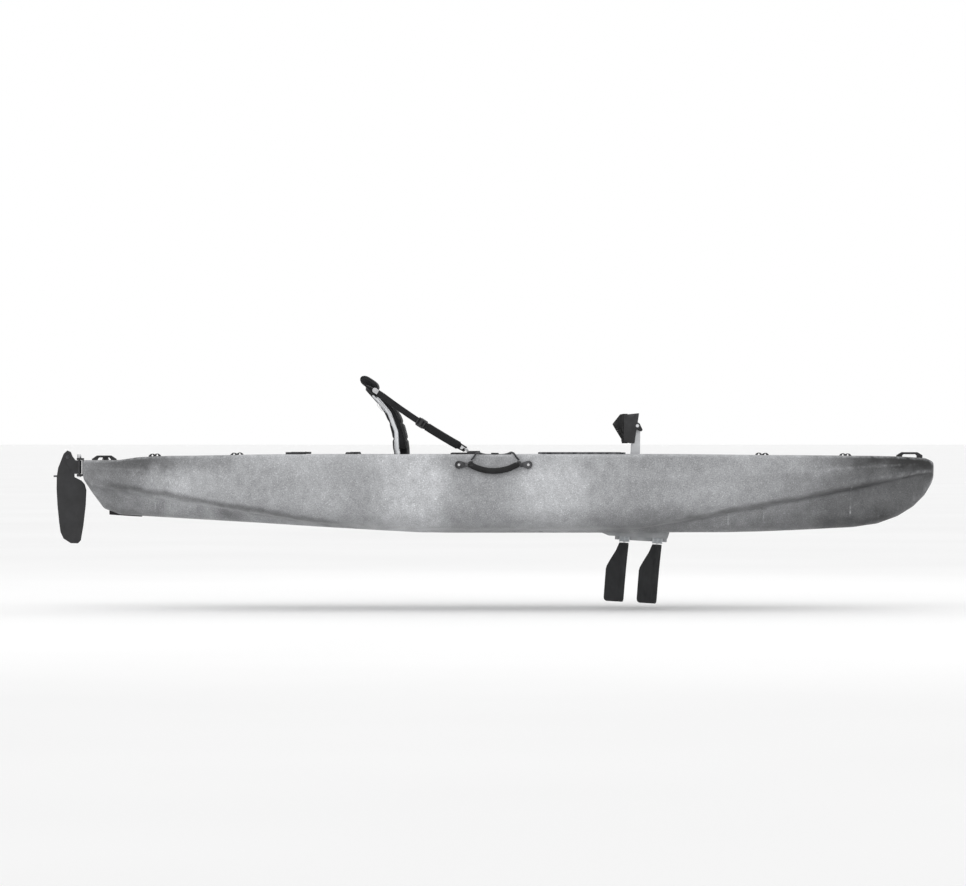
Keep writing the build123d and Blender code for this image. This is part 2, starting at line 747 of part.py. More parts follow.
with BuildPart() as side_handle_tabs:
    for side in SIDES.values():
        for end, x in TAB_XS.items():
            eye_x = EYE_XS[end]
            with BuildSketch(side_of(side * TAB_OUT_Y)):
                with Locations((x, TAB_Z)):
                    Circle(TAB_R)
                with Locations((eye_x, TAB_Z)):
                    Circle(EYE_W / 2)
                make_hull()
            extrude(amount=side * (TAB_OUT_Y - TAB_IN_Y))
            with BuildSketch(Plane.YZ.offset(eye_x - EYE_W / 2)):
                with Locations((side * GRIP_Y, TAB_Z)):
                    Circle(EYE_R)
                with Locations((side * (GRIP_Y - EYE_R), TAB_Z)):
                    Rectangle(2 * EYE_R, 2 * EYE_R)
            extrude(amount=EYE_W)
            with BuildSketch(Plane.YZ.offset(eye_x - EYE_W)):
                with Locations((side * GRIP_Y, TAB_Z)):
                    Circle(GRIP_PIN_R + RUN_FIT)
            extrude(amount=2 * EYE_W, mode=Mode.SUBTRACT)
        with BuildSketch(side_of(side * CORD_LUG_OUT_Y)):
            for x in CORD_LUG_XS:
                with Locations((x, sum(CORD_LUG_Z) / 2)):
                    RectangleRounded(CORD_LUG_W, CORD_LUG_Z[1] - CORD_LUG_Z[0], 4)
        extrude(amount=side * (CORD_LUG_OUT_Y - TAB_IN_Y))
    add(outer_form, mode=Mode.SUBTRACT)
save("side_handle_tabs", side_handle_tabs.part)

with BuildPart() as side_handle_screws:
    for side in SIDES.values():
        with BuildSketch(side_of(side * (TAB_OUT_Y + SCREW_HEAD_H))):
            for x in TAB_XS.values():
                with Locations((x, TAB_Z)):
                    Circle(SCREW_HEAD_R)
        extrude(amount=side * SCREW_HEAD_H)
save("side_handle_screws", side_handle_screws.part)


def side_handle(side):
    """A drooping grip whose two pins turn in the eyes of the tabs."""
    aft = EYE_XS["aft"] + EYE_W / 2 + BODY_GAP
    fore = EYE_XS["fore"] - EYE_W / 2 - BODY_GAP
    boss_l = 12.0
    grip_aft = aft + boss_l - 3
    grip_fore = fore - boss_l + 3
    chord = grip_fore - grip_aft
    arc_r = (chord**2 / 4 + GRIP_SAG**2) / (2 * GRIP_SAG)
    slope = degrees(atan2(chord / 2, arc_r - GRIP_SAG))
    down = (cos(radians(slope)), 0, -sin(radians(slope)))
    with BuildPart() as handle:
        with BuildLine(side_of(side * GRIP_Y)):
            middle = ((grip_aft + grip_fore) / 2, TAB_Z - GRIP_SAG)
            ThreePointArc((grip_aft, TAB_Z), middle, (grip_fore, TAB_Z))
        with BuildSketch(Plane((grip_aft, side * GRIP_Y, TAB_Z), z_dir=down)):
            Circle(GRIP_R)
        sweep()
        for start, length in ((aft, boss_l), (fore - boss_l, boss_l)):
            with BuildSketch(Plane.YZ.offset(start)):
                with Locations((side * GRIP_Y, TAB_Z)):
                    Circle(GRIP_R - 1.5)
            extrude(amount=length)
        for start, length in ((aft - EYE_W - 2 * BODY_GAP, 18.0), (fore - 18 + EYE_W + 2 * BODY_GAP, 18.0)):
            with BuildSketch(Plane.YZ.offset(start)):
                with Locations((side * GRIP_Y, TAB_Z)):
                    Circle(GRIP_PIN_R)
            extrude(amount=length)
    return handle.part


for name, side in SIDES.items():
    save(f"side_handle_{name}", side_handle(side))


# ---------------------------------------------------------------- padeyes and paddle keepers
with BuildPart() as deck_padeyes:
    for side in SIDES.values():
        for x, y in PADEYE_SPOTS:
            deck = sheer_z(x)
            with BuildSketch(side_of(side * y)):
                with BuildLine():
                    foot = (x + PADEYE_LENGTH / 2, deck - 3)
                    heel = (x - PADEYE_LENGTH / 2, deck - 3)
                    ThreePointArc(heel, (x, deck + PADEYE_H), foot)
                    Line(foot, heel)
                make_face()
                with Locations((x, deck + 2.5)):
                    Circle(PADEYE_HOLE_R, mode=Mode.SUBTRACT)
            extrude(amount=PADEYE_W / 2, both=True)
    add(outer_form, mode=Mode.SUBTRACT)
    for side in SIDES.values():
        with BuildSketch(Plane.XY.offset(sheer_z(DOME_X))):
            with Locations((DOME_X, side * DOME_Y)):
                Ellipse(DOME_HALF_L, DOME_HALF_W)
        extrude(amount=DOME_H, taper=30)
save("deck_padeyes", deck_padeyes.part)

with BuildPart() as paddle_keeper_hooks:
    for side in SIDES.values():
        with BuildSketch(Plane.XY.offset(KEEPER_FLOOR_Z)):
            with Locations((KEEPER_HOOK_X, side * KEEPER_HOOK_Y)):
                Circle(KEEPER_POST_R)
        extrude(amount=KEEPER_POST_H)
        with BuildSketch(Plane.XY.offset(KEEPER_FLOOR_Z + KEEPER_POST_H)):
            with Locations((KEEPER_HOOK_X, side * KEEPER_HOOK_Y)):
                Circle(KEEPER_CAP_R)
        extrude(amount=KEEPER_CAP_T)
save("paddle_keeper_hooks", paddle_keeper_hooks.part)

# The keeper's route, for the port side: up from one lug, over the gunwale, round the hook and back
# to the other lug.
KEEPER_ROUTE = [
    (-163, 424.5, 310.5),
    (-152, 422.5, 322),
    (-141, 417.5, 340),
    (-133, 397, 342.5),
    (-122, 375, 336),
    (-100, 350, 331),
    (-79, 326, 331),
    (-70, 312.5, 331),
    (-54, 312.5, 331),
    (-45, 326, 331),
    (-24, 350, 331),
    (-2, 375, 336),
    (9, 397, 342.5),
    (17, 417.5, 340),
    (28, 422.5, 322),
    (39, 424.5, 310.5),
]


def arc_radii(points, most=0.45):
    """The largest arc that fits at each inner point of a route."""
    radii = []
    for before, at, after in zip(points, points[1:], points[2:]):
        run_in = Vector(*at) - Vector(*before)
        run_out = Vector(*after) - Vector(*at)
        turn = radians(run_in.get_angle(run_out))
        radii.append(most * min(run_in.length, run_out.length) / tan(turn / 2))
    return radii


def paddle_bungee(side):
    points = [(x, side * y, z) for x, y, z in KEEPER_ROUTE]
    start = Vector(*points[0])
    with BuildPart() as bungee:
        with BuildLine() as route:
            FilletPolyline(*points, radius=arc_radii(points))
        with BuildSketch(Plane(start, z_dir=Vector(*points[1]) - start)):
            Circle(BUNGEE_R)
        sweep()
    length = sum(edge.length for edge in route.edges())
    swept = pi * BUNGEE_R**2 * length
    print("paddle bungee: volume", round(bungee.part.volume), "section x length", round(swept))
    print("paddle bungee: length", round(length), "radii", [round(r) for r in arc_radii(points)])
    return bungee.part


for name, side in SIDES.items():
    save(f"paddle_bungee_{name}", paddle_bungee(side))


# ---------------------------------------------------------------- rod holders and gear tracks
with BuildPart() as rod_holders:
    for side in SIDES.values():
        deck = rod_holder_plane(side)
        with BuildSketch(Plane.XY.offset(sheer_z(ROD_HOLDER_X) - 3)):
            with Locations((ROD_HOLDER_X, side * ROD_HOLDER_Y)):
                Ellipse(ROD_HOLDER_FLANGE_R + 8, ROD_HOLDER_FLANGE_R)
        extrude(amount=3 + ROD_HOLDER_FLANGE_T + 5)
        with BuildSketch(deck.offset(-ROD_HOLDER_LENGTH)):
            Circle(ROD_HOLDER_BORE_R + ROD_HOLDER_WALL)
        extrude(amount=ROD_HOLDER_LENGTH)
    add(moulding.part, mode=Mode.SUBTRACT)
    for side in SIDES.values():
        with BuildSketch(rod_holder_plane(side).offset(ROD_HOLDER_WALL - ROD_HOLDER_LENGTH)):
            Circle(ROD_HOLDER_BORE_R)
        extrude(amount=ROD_HOLDER_LENGTH + 40, mode=Mode.SUBTRACT)
save("rod_holders", rod_holders.part)

with BuildPart() as gear_tracks:
    low_z = DEPTH + TRACK_PROUD - TRACK_H
    for side in SIDES.values():
        with BuildSketch(Plane.YZ.offset(TRACK_AFT_X)):
            with Locations((side * TRACK_Y, low_z + TRACK_H / 2)):
                Rectangle(TRACK_W, TRACK_H)
            with Locations((side * TRACK_Y, low_z + TRACK_H)):
                Rectangle(TRACK_SLOT_W, 2 * TRACK_H - 2 * TRACK_FLOOR_T, mode=Mode.SUBTRACT)
            channel_h = TRACK_H - TRACK_FLOOR_T - TRACK_LIP_T
            with Locations((side * TRACK_Y, low_z + TRACK_FLOOR_T + channel_h / 2)):
                Rectangle(TRACK_CHANNEL_W, channel_h, mode=Mode.SUBTRACT)
        extrude(amount=TRACK_FORE_X - TRACK_AFT_X)
save("gear_tracks", gear_tracks.part)


# ---------------------------------------------------------------- hatch
RIM_TOP_Z = SEAT_FLOOR_Z + HATCH_RIM_H
LID_LOW_Z = RIM_TOP_Z + HATCH_GASKET_T

with BuildPart() as hatch_ring:
    with BuildSketch(Plane.XY.offset(SEAT_FLOOR_Z)):
        with Locations((HATCH_X, 0)):
            Circle(HATCH_FLANGE_R)
            Circle(HATCH_NECK_R, mode=Mode.SUBTRACT)
    extrude(amount=HATCH_FLANGE_T)
    with BuildSketch(Plane.XY.offset(SEAT_FLOOR_Z - HATCH_NECK_DEPTH)):
        with Locations((HATCH_X, 0)):
            Circle(HATCH_HOLE_R - 0.3)
            Circle(HATCH_NECK_R, mode=Mode.SUBTRACT)
    extrude(amount=HATCH_NECK_DEPTH)
    with BuildSketch(Plane.XY.offset(SEAT_FLOOR_Z)):
        with Locations((HATCH_X, 0)):
            Circle(HATCH_RIM_OUT_R)
            Circle(HATCH_RIM_IN_R, mode=Mode.SUBTRACT)
    extrude(amount=HATCH_RIM_H)
save("hatch_ring", hatch_ring.part)

with BuildPart() as hatch_gasket:
    with BuildSketch(Plane.XY.offset(RIM_TOP_Z)):
        with Locations((HATCH_X, 0)):
            Circle(HATCH_RIM_OUT_R - 0.3)
            Circle(HATCH_RIM_IN_R + 0.3, mode=Mode.SUBTRACT)
    extrude(amount=HATCH_GASKET_T)
save("hatch_gasket", hatch_gasket.part)

with BuildPart() as hatch_lid:
    with BuildSketch(Plane.XY.offset(SEAT_FLOOR_Z + HATCH_FLANGE_T + 2)):
        with Locations((HATCH_X, 0)):
            Circle(HATCH_LID_R)
            Circle(HATCH_RIM_OUT_R + 1, mode=Mode.SUBTRACT)
    extrude(amount=LID_LOW_Z - SEAT_FLOOR_Z - HATCH_FLANGE_T - 2)
    with BuildSketch(Plane.XY.offset(LID_LOW_Z)):
        with Locations((HATCH_X, 0)):
            Circle(HATCH_LID_R)
    extrude(amount=HATCH_LID_T)
    with BuildSketch(Plane.XY.offset(LID_LOW_Z + HATCH_LID_T)):
        with Locations((HATCH_X, 0)):
            Rectangle(2 * HATCH_LID_R - 30, HATCH_BAR_W)
            Circle(24)
    extrude(amount=HATCH_BAR_H)
    fillet(hatch_lid.faces().sort_by(Axis.Z)[-1].edges(), 3)
save("hatch_lid", hatch_lid.part)


# ---------------------------------------------------------------- keel guard and drain plug
with BuildPart() as keel_guard:
    aft, fore = KEEL_GUARD_X
    outside = [(x, keel_z(x) - KEEL_CUT - KEEL_GUARD_T) for x in (fore, (aft + fore) / 2, aft)]
    inside = [(x, z + KEEL_GUARD_T + 20) for x, z in reversed(outside)]
    with BuildSketch(Plane.XZ):
        with BuildLine():
            Polyline(*outside, *inside, close=True)
        make_face()
    extrude(amount=KEEL_GUARD_HALF_W, both=True)
    add(outer_form, mode=Mode.SUBTRACT)
save("keel_guard", keel_guard.part)

with BuildPart() as drain_plug:
    deck = sheer_z(PLUG_X)
    with BuildSketch(Plane.XY.offset(deck + 1)):
        with Locations((PLUG_X, PLUG_Y)):
            Circle(PLUG_R)
    extrude(amount=5)
    with BuildSketch(Plane.XY.offset(deck + 6)):
        with Locations((PLUG_X, PLUG_Y)):
            Rectangle(2 * PLUG_R - 6, 5)
    extrude(amount=5)
    with BuildSketch(Plane.XY.offset(deck + 1)):
        with Locations((PLUG_X, PLUG_Y)):
            Circle(PLUG_SHANK_R)
    extrude(amount=-PLUG_LENGTH)
save("drain_plug", drain_plug.part)


# ---------------------------------------------------------------- seat
PANEL_REAR = [
    (-494, SEAT_PANEL_BREAK_Z),
    (-497, 420),
    (-509, 467),
    (-530, 517),
    (-553, 549),
    (-590, 592),
    (-634, 640),
]
PANEL_FRONT = [
    (-573, 612),
    (-553, 602),
    (-518, 565),
    (-487, 530),
    (-468, 498),
    (-452, 454),
    (-439, 404),
    (-432, SEAT_PANEL_BREAK_Z),
]
PANEL_LOW = [
    (-432, SEAT_PANEL_BREAK_Z + 1),
    (-430, 275),
    (-446, 262),
    (-478, 262),
    (-494, SEAT_PANEL_BREAK_Z + 1),
]
PANEL_FOLDS = [((-509, 467), (-452, 454)), ((-553, 549), (-487, 530))]  # where the pad is divided
FRAME_ROUTE = [
    (SEAT_PIVOT_X, SEAT_PIVOT_Z),
    (-478, SEAT_PANEL_BREAK_Z),
    (-482, 430),
    (-512, 510),
    (-578, 590),
]
FRAME_CORNER_R = 40.0


def seat_tube(radius):
    """The bent tube of the seat back: up one side, across the top and down the other."""
    legs = [(x, SEAT_TUBE_Y, z) for x, z in FRAME_ROUTE]
    points = legs + [(x, -y, z) for x, y, z in reversed(legs)]
    with BuildPart() as tube:
        with BuildLine():
            FilletPolyline(*points, radius=FRAME_CORNER_R)
        with BuildSketch(Plane(points[0], z_dir=Vector(*points[1]) - Vector(*points[0]))):
            Circle(radius)
        sweep()
    return tube.part


seat_tube_form = seat_tube(SEAT_TUBE_R)

with BuildPart() as seat_back_frame:
    add(seat_tube_form)
    for side in SIDES.values():
        with BuildSketch(side_of(side * SEAT_TUBE_Y)):
            with Locations((SEAT_PIVOT_X, SEAT_PIVOT_Z)):
                Circle(SEAT_EYE_R)
        extrude(amount=SEAT_EYE_W / 2, both=True)
        with BuildSketch(side_of(side * SEAT_TUBE_Y)):
            with Locations((SEAT_PIVOT_X, SEAT_PIVOT_Z)):
                Circle(SEAT_PIN_R + RUN_FIT)
        extrude(amount=SEAT_EYE_W, both=True, mode=Mode.SUBTRACT)
save("seat_back_frame", seat_back_frame.part)

SEAT_CHEEK_IN = SEAT_TUBE_R + 1.5
with BuildPart() as seat_brackets:
    for side in SIDES.values():
        with BuildSketch(Plane.XY.offset(SEAT_FLOOR_Z)):
            with Locations((SEAT_PIVOT_X, side * SEAT_TUBE_Y)):
                RectangleRounded(SEAT_BRACKET_L, 2 * (SEAT_CHEEK_IN + SEAT_CHEEK_T) + 16, 6)
        extrude(amount=SEAT_CHEEK_T)
        for cheek in (-1, 1):
            inner_y = side * SEAT_TUBE_Y + cheek * SEAT_CHEEK_IN
            with BuildSketch(side_of(inner_y)):
                with BuildLine():
                    Polyline(
                        (SEAT_PIVOT_X - SEAT_BRACKET_L / 2 + 4, SEAT_FLOOR_Z),
                        (SEAT_PIVOT_X + SEAT_BRACKET_L / 2 - 4, SEAT_FLOOR_Z),
                        (SEAT_PIVOT_X + SEAT_EYE_R - 2, SEAT_PIVOT_Z + SEAT_EYE_R - 2),
                        (SEAT_PIVOT_X - SEAT_EYE_R + 2, SEAT_PIVOT_Z + SEAT_EYE_R - 2),
                        close=True,
                    )
                make_face()
                with Locations((SEAT_PIVOT_X, SEAT_PIVOT_Z)):
                    Circle(SEAT_PIN_R, mode=Mode.SUBTRACT)
            extrude(amount=-cheek * SEAT_CHEEK_T)
save("seat_brackets", seat_brackets.part)

with BuildPart() as seat_pins:
    for side in SIDES.values():
        reach = SEAT_CHEEK_IN + SEAT_CHEEK_T
        with BuildSketch(side_of(side * SEAT_TUBE_Y)):
            with Locations((SEAT_PIVOT_X, SEAT_PIVOT_Z)):
                Circle(SEAT_PIN_R)
        extrude(amount=reach, both=True)
        for end in (-1, 1):
            with BuildSketch(side_of(side * SEAT_TUBE_Y + end * reach)):
                with Locations((SEAT_PIVOT_X, SEAT_PIVOT_Z)):
                    Circle(SEAT_PIN_R + 3)
            extrude(amount=-end * 3)
save("seat_pins", seat_pins.part)

slope = radians(HEAD_PAD_SLOPE)
head_plane = Plane(
    (HEAD_PAD_CENTRE[0], 0, HEAD_PAD_CENTRE[1]), x_dir=(-cos(slope), 0, sin(slope)), z_dir=(0, 1, 0)
)
with BuildPart() as seat_head_pad:
    with BuildSketch(head_plane):
        SlotOverall(HEAD_PAD_L, HEAD_PAD_T)
    extrude(amount=HEAD_PAD_HALF_W, both=True)
    add(seat_tube_form, mode=Mode.SUBTRACT)
save("seat_head_pad", seat_head_pad.part)

with BuildPart() as seat_back_panel:
    with BuildSketch(Plane.XZ):
        with BuildLine():
            Polyline(*PANEL_REAR, *PANEL_FRONT, close=True)
        make_face()
    extrude(amount=SEAT_PANEL_HALF_W, both=True)
    side_faces = seat_back_panel.faces().filter_by(Axis.Y)
    fillet(side_faces.edges(), 9)
    with BuildSketch(Plane.XZ):
        with BuildLine():
            Polyline(*PANEL_LOW, close=True)
        make_face()
    extrude(amount=SEAT_PANEL_LOW_HALF_W, both=True)
    add(seat_head_pad.part, mode=Mode.SUBTRACT)
    add(seat_tube_form, mode=Mode.SUBTRACT)
    for rear, front in PANEL_FOLDS:
        across = (rear[1] - front[1], 0, front[0] - rear[0])
        fold = Plane((rear[0], 0, rear[1]), x_dir=(0, 1, 0), z_dir=across)
        split(bisect_by=fold, keep=Keep.BOTH)
save("seat_back_panel", seat_back_panel.part)

with BuildPart() as seat_cushion:
    aft, fore = CUSHION_X
    with BuildSketch(Plane.XY.offset(SEAT_FLOOR_Z)):
        with Locations(((aft + fore) / 2, 0)):
            RectangleRounded(fore - aft, 2 * CUSHION_HALF_W, 50)
    extrude(amount=CUSHION_T)
    fillet(seat_cushion.faces().sort_by(Axis.Z)[-1].edges(), 14)
save("seat_cushion", seat_cushion.part)


# ---------------------------------------------------------------- seat straps
def strap_plane(side):
    """At the strap's top pivot: x runs along the strap, and y is across the webbing, upwards."""
    top = Vector(STRAP_TOP[0], side * STRAP_TOP[1], STRAP_TOP[2])
    bar = Vector(STRAP_BAR[0], side * STRAP_BAR[1], STRAP_BAR[2])
    along = (bar - top).normalized()
    return Plane(top, x_dir=along, z_dir=(along.Y, -along.X, 0))


BAR_AT = (Vector(*STRAP_BAR) - Vector(*STRAP_TOP)).length
HOOK_START = BAR_AT - 30.0
WEBBING_SPAN = (LINK_L - 10.0, HOOK_START + 6.0)


def strap_block(plane, span, width, thickness, low=None):
    """A flat block along the strap, centred on it or standing on low."""
    start = -thickness / 2 if low is None else low
    with BuildPart() as block:
        with BuildSketch(plane.offset(start)):
            with Locations(((span[0] + span[1]) / 2, 0)):
                Rectangle(span[1] - span[0], width)
        extrude(amount=thickness)
    return block.part


for name, side in SIDES.items():
    plane = strap_plane(side)

    with BuildPart() as strap_sleeve:
        add(strap_block(plane, SLEEVE_SPAN, SLEEVE_W, SLEEVE_T))
        fillet(strap_sleeve.edges().filter_by(Axis(plane.origin, plane.x_dir)), SLEEVE_T / 3)
        add(strap_block(plane, WEBBING_SPAN, STRAP_W, STRAP_T), mode=Mode.SUBTRACT)
    save(f"strap_sleeve_{name}", strap_sleeve.part)

    with BuildPart() as strap_buckle:
        add(strap_block(plane, BUCKLE_SPAN, BUCKLE_W, BUCKLE_T))
        fillet(strap_buckle.edges().filter_by(Axis(plane.origin, plane.z_dir)), 8)
        add(strap_block(plane, WEBBING_SPAN, STRAP_W, STRAP_T), mode=Mode.SUBTRACT)
    save(f"strap_buckle_{name}", strap_buckle.part)

    # the link turns on the rivet of the seat back, and the hook bears on the anchor ring
    with BuildPart() as strap_hook:
        link_slope = degrees(atan2(STRAP_BAR[2] - STRAP_TOP[2], STRAP_BAR[0] - STRAP_TOP[0]))
        link_end = Vector(LINK_L / 2, 0).rotate(Axis.Z, link_slope)
        with BuildSketch(side_of(side * (STRAP_TOP[1] - STRAP_T / 2))):
            with Locations((STRAP_TOP[0], STRAP_TOP[2])):
                Circle(LINK_R)
            with Locations((STRAP_TOP[0] + link_end.X, STRAP_TOP[2] + link_end.Y)):
                Rectangle(LINK_L, STRAP_W - 4, rotation=link_slope)
            with Locations((STRAP_TOP[0], STRAP_TOP[2])):
                Circle(STRAP_PIN_R + RUN_FIT, mode=Mode.SUBTRACT)
        extrude(amount=-side * STRAP_T)
        nose_x = BAR_AT + RING_WIRE / 2 + HOOK_GAP
        shank_y = RING_WIRE / 2 + HOOK_GAP
        with BuildSketch(plane.offset(-HOOK_W / 2)):
            with BuildLine():
                Polyline(
                    (WEBBING_SPAN[1], -STRAP_W / 3),
                    (WEBBING_SPAN[1], STRAP_W / 3),
                    (WEBBING_SPAN[1] + 6, shank_y + HOOK_T),
                    (nose_x + HOOK_T, shank_y + HOOK_T),
                    (nose_x + HOOK_T, shank_y + HOOK_T - HOOK_NOSE),
                    (nose_x, shank_y + HOOK_T - HOOK_NOSE),
                    (nose_x, shank_y),
                    (BAR_AT - RING_WIRE / 2 - 8, shank_y),
                    (BAR_AT - RING_WIRE / 2 - 12, -STRAP_W / 3),
                    close=True,
                )
            make_face()
        extrude(amount=HOOK_W)
    save(f"strap_hook_{name}", strap_hook.part)

    with BuildPart() as seat_strap:
        add(strap_block(plane, WEBBING_SPAN, STRAP_W, STRAP_T))
    save(f"seat_strap_{name}", seat_strap.part)

with BuildPart() as anchor_rings:
    for side in SIDES.values():
        ring_l = RING_WINDOW_L + 2 * RING_WIRE
        lying = strap_plane(side)
        with BuildSketch(Plane(lying.origin, x_dir=lying.x_dir, z_dir=lying.y_dir)):
            with Locations((BAR_AT - RING_WIRE / 2 + ring_l / 2, 0)):
                RectangleRounded(ring_l, RING_W + 2 * RING_WIRE, RING_WIRE)
                Rectangle(RING_WINDOW_L, RING_W, mode=Mode.SUBTRACT)
        extrude(amount=RING_WIRE / 2, both=True)
save("anchor_rings", anchor_rings.part)

with BuildPart() as strap_anchors:
    for side in SIDES.values():
        turn = degrees(atan2(side * (STRAP_BAR[1] - STRAP_TOP[1]), STRAP_BAR[0] - STRAP_TOP[0]))
        bar_y = side * STRAP_BAR[1]
        aft, fore = ANCHOR_X
        slope = tan(radians(turn))
        with BuildSketch(Plane.XY.offset(DEPTH - 2)):
            with Locations(((aft + fore) / 2, bar_y + slope * ((aft + fore) / 2 - STRAP_BAR[0]))):
                RectangleRounded(fore - aft, ANCHOR_W, 5, rotation=turn)
        extrude(amount=2 + ANCHOR_H)
        with BuildSketch(Plane.XY.offset(DEPTH - 2)):
            with Locations(((ANCHOR_PLATE_AFT_X + fore) / 2, bar_y)):
                RectangleRounded(fore - ANCHOR_PLATE_AFT_X, ANCHOR_W, 8)
        extrude(amount=2 + ANCHOR_PLATE_H)
    add(outer_form, mode=Mode.SUBTRACT)
    for side in SIDES.values():
        window = strap_plane(side)
        flat = Plane(window.origin, x_dir=window.x_dir, z_dir=window.y_dir)
        with BuildSketch(flat.offset(-RING_WIRE * 2)):
            with Locations((BAR_AT + RING_WINDOW_L / 2, 0)):
                Rectangle(RING_WINDOW_L + RING_WIRE, RING_W)
        extrude(amount=RING_WIRE * 10, mode=Mode.SUBTRACT)
    add(anchor_rings.part, mode=Mode.SUBTRACT)
save("strap_anchors", strap_anchors.part)

SIDE_RING_CENTRE = (-548.0, 535.0)
SIDE_RING_SLOPE = 50.0
with BuildPart() as seat_hardware:
    for side in SIDES.values():
        top_y = STRAP_TOP[1] + STRAP_T / 2
        with BuildSketch(side_of(side * (SEAT_PANEL_HALF_W + 0.3))):
            with Locations((STRAP_TOP[0], STRAP_TOP[2])):
                Circle(STRAP_PIN_R)
        extrude(amount=-side * (top_y + 3 - SEAT_PANEL_HALF_W - 0.3))
        spacer_l = top_y - STRAP_T - 1 - SEAT_PANEL_HALF_W
        for y, length in ((SEAT_PANEL_HALF_W + 0.3, spacer_l), (top_y + 1, 3.0)):
            with BuildSketch(side_of(side * y)):
                with Locations((STRAP_TOP[0], STRAP_TOP[2])):
                    Circle(STRAP_PIN_R + 2)
            extrude(amount=-side * length)
        with BuildSketch(side_of(side * (SEAT_PANEL_HALF_W + 0.3))):
            with Locations(SIDE_RING_CENTRE):
                RectangleRounded(38, 14, 4, rotation=-SIDE_RING_SLOPE)
                RectangleRounded(34, 10, 2, rotation=-SIDE_RING_SLOPE, mode=Mode.SUBTRACT)
        extrude(amount=-side * 3)
save("seat_hardware", seat_hardware.part)


# ---------------------------------------------------------------- pedal drive
PITCH = radians(DRIVE_PITCH)
FORWARD = (cos(PITCH), 0, -sin(PITCH))
UPWARD = (sin(PITCH), 0, cos(PITCH))
FINS = {"rear": -FIN_SPACING / 2, "front": FIN_SPACING / 2}


def drive_point(u, v, y=0.0):
    """A point u forward and v up from the middle of the line that the fins swing about."""
    x = DRIVE_X + u * FORWARD[0] + v * UPWARD[0]
    z = DRIVE_Z + u * FORWARD[2] + v * UPWARD[2]
    return (x, y, z)


def drive_cross(u):
    """The plane across that line, with x to port and y up."""
    return Plane(drive_point(u, 0), x_dir=(0, 1, 0), z_dir=FORWARD)


def drive_level(u, v):
    """The plane at height v, with x forward and y to port."""
    return Plane(drive_point(u, v), x_dir=FORWARD, z_dir=UPWARD)


def world(u, v):
    x, _, z = drive_point(u, v)
    return (x, z)


HOUSING_AFT_X = WELL_AFT_X + 20
HOUSING_FORE_X = WELL_FORE_X - 20
FLANGE_TOP_Z = SEAT_FLOOR_Z + FLANGE_T
HEAD_TOP_Z = CRANK_Z + DRUM_R + 10
DRUM_ROOM_R = DRUM_R + 3
POD_V = 3.0  # the bottom of the housing, just above the line that the fins swing about

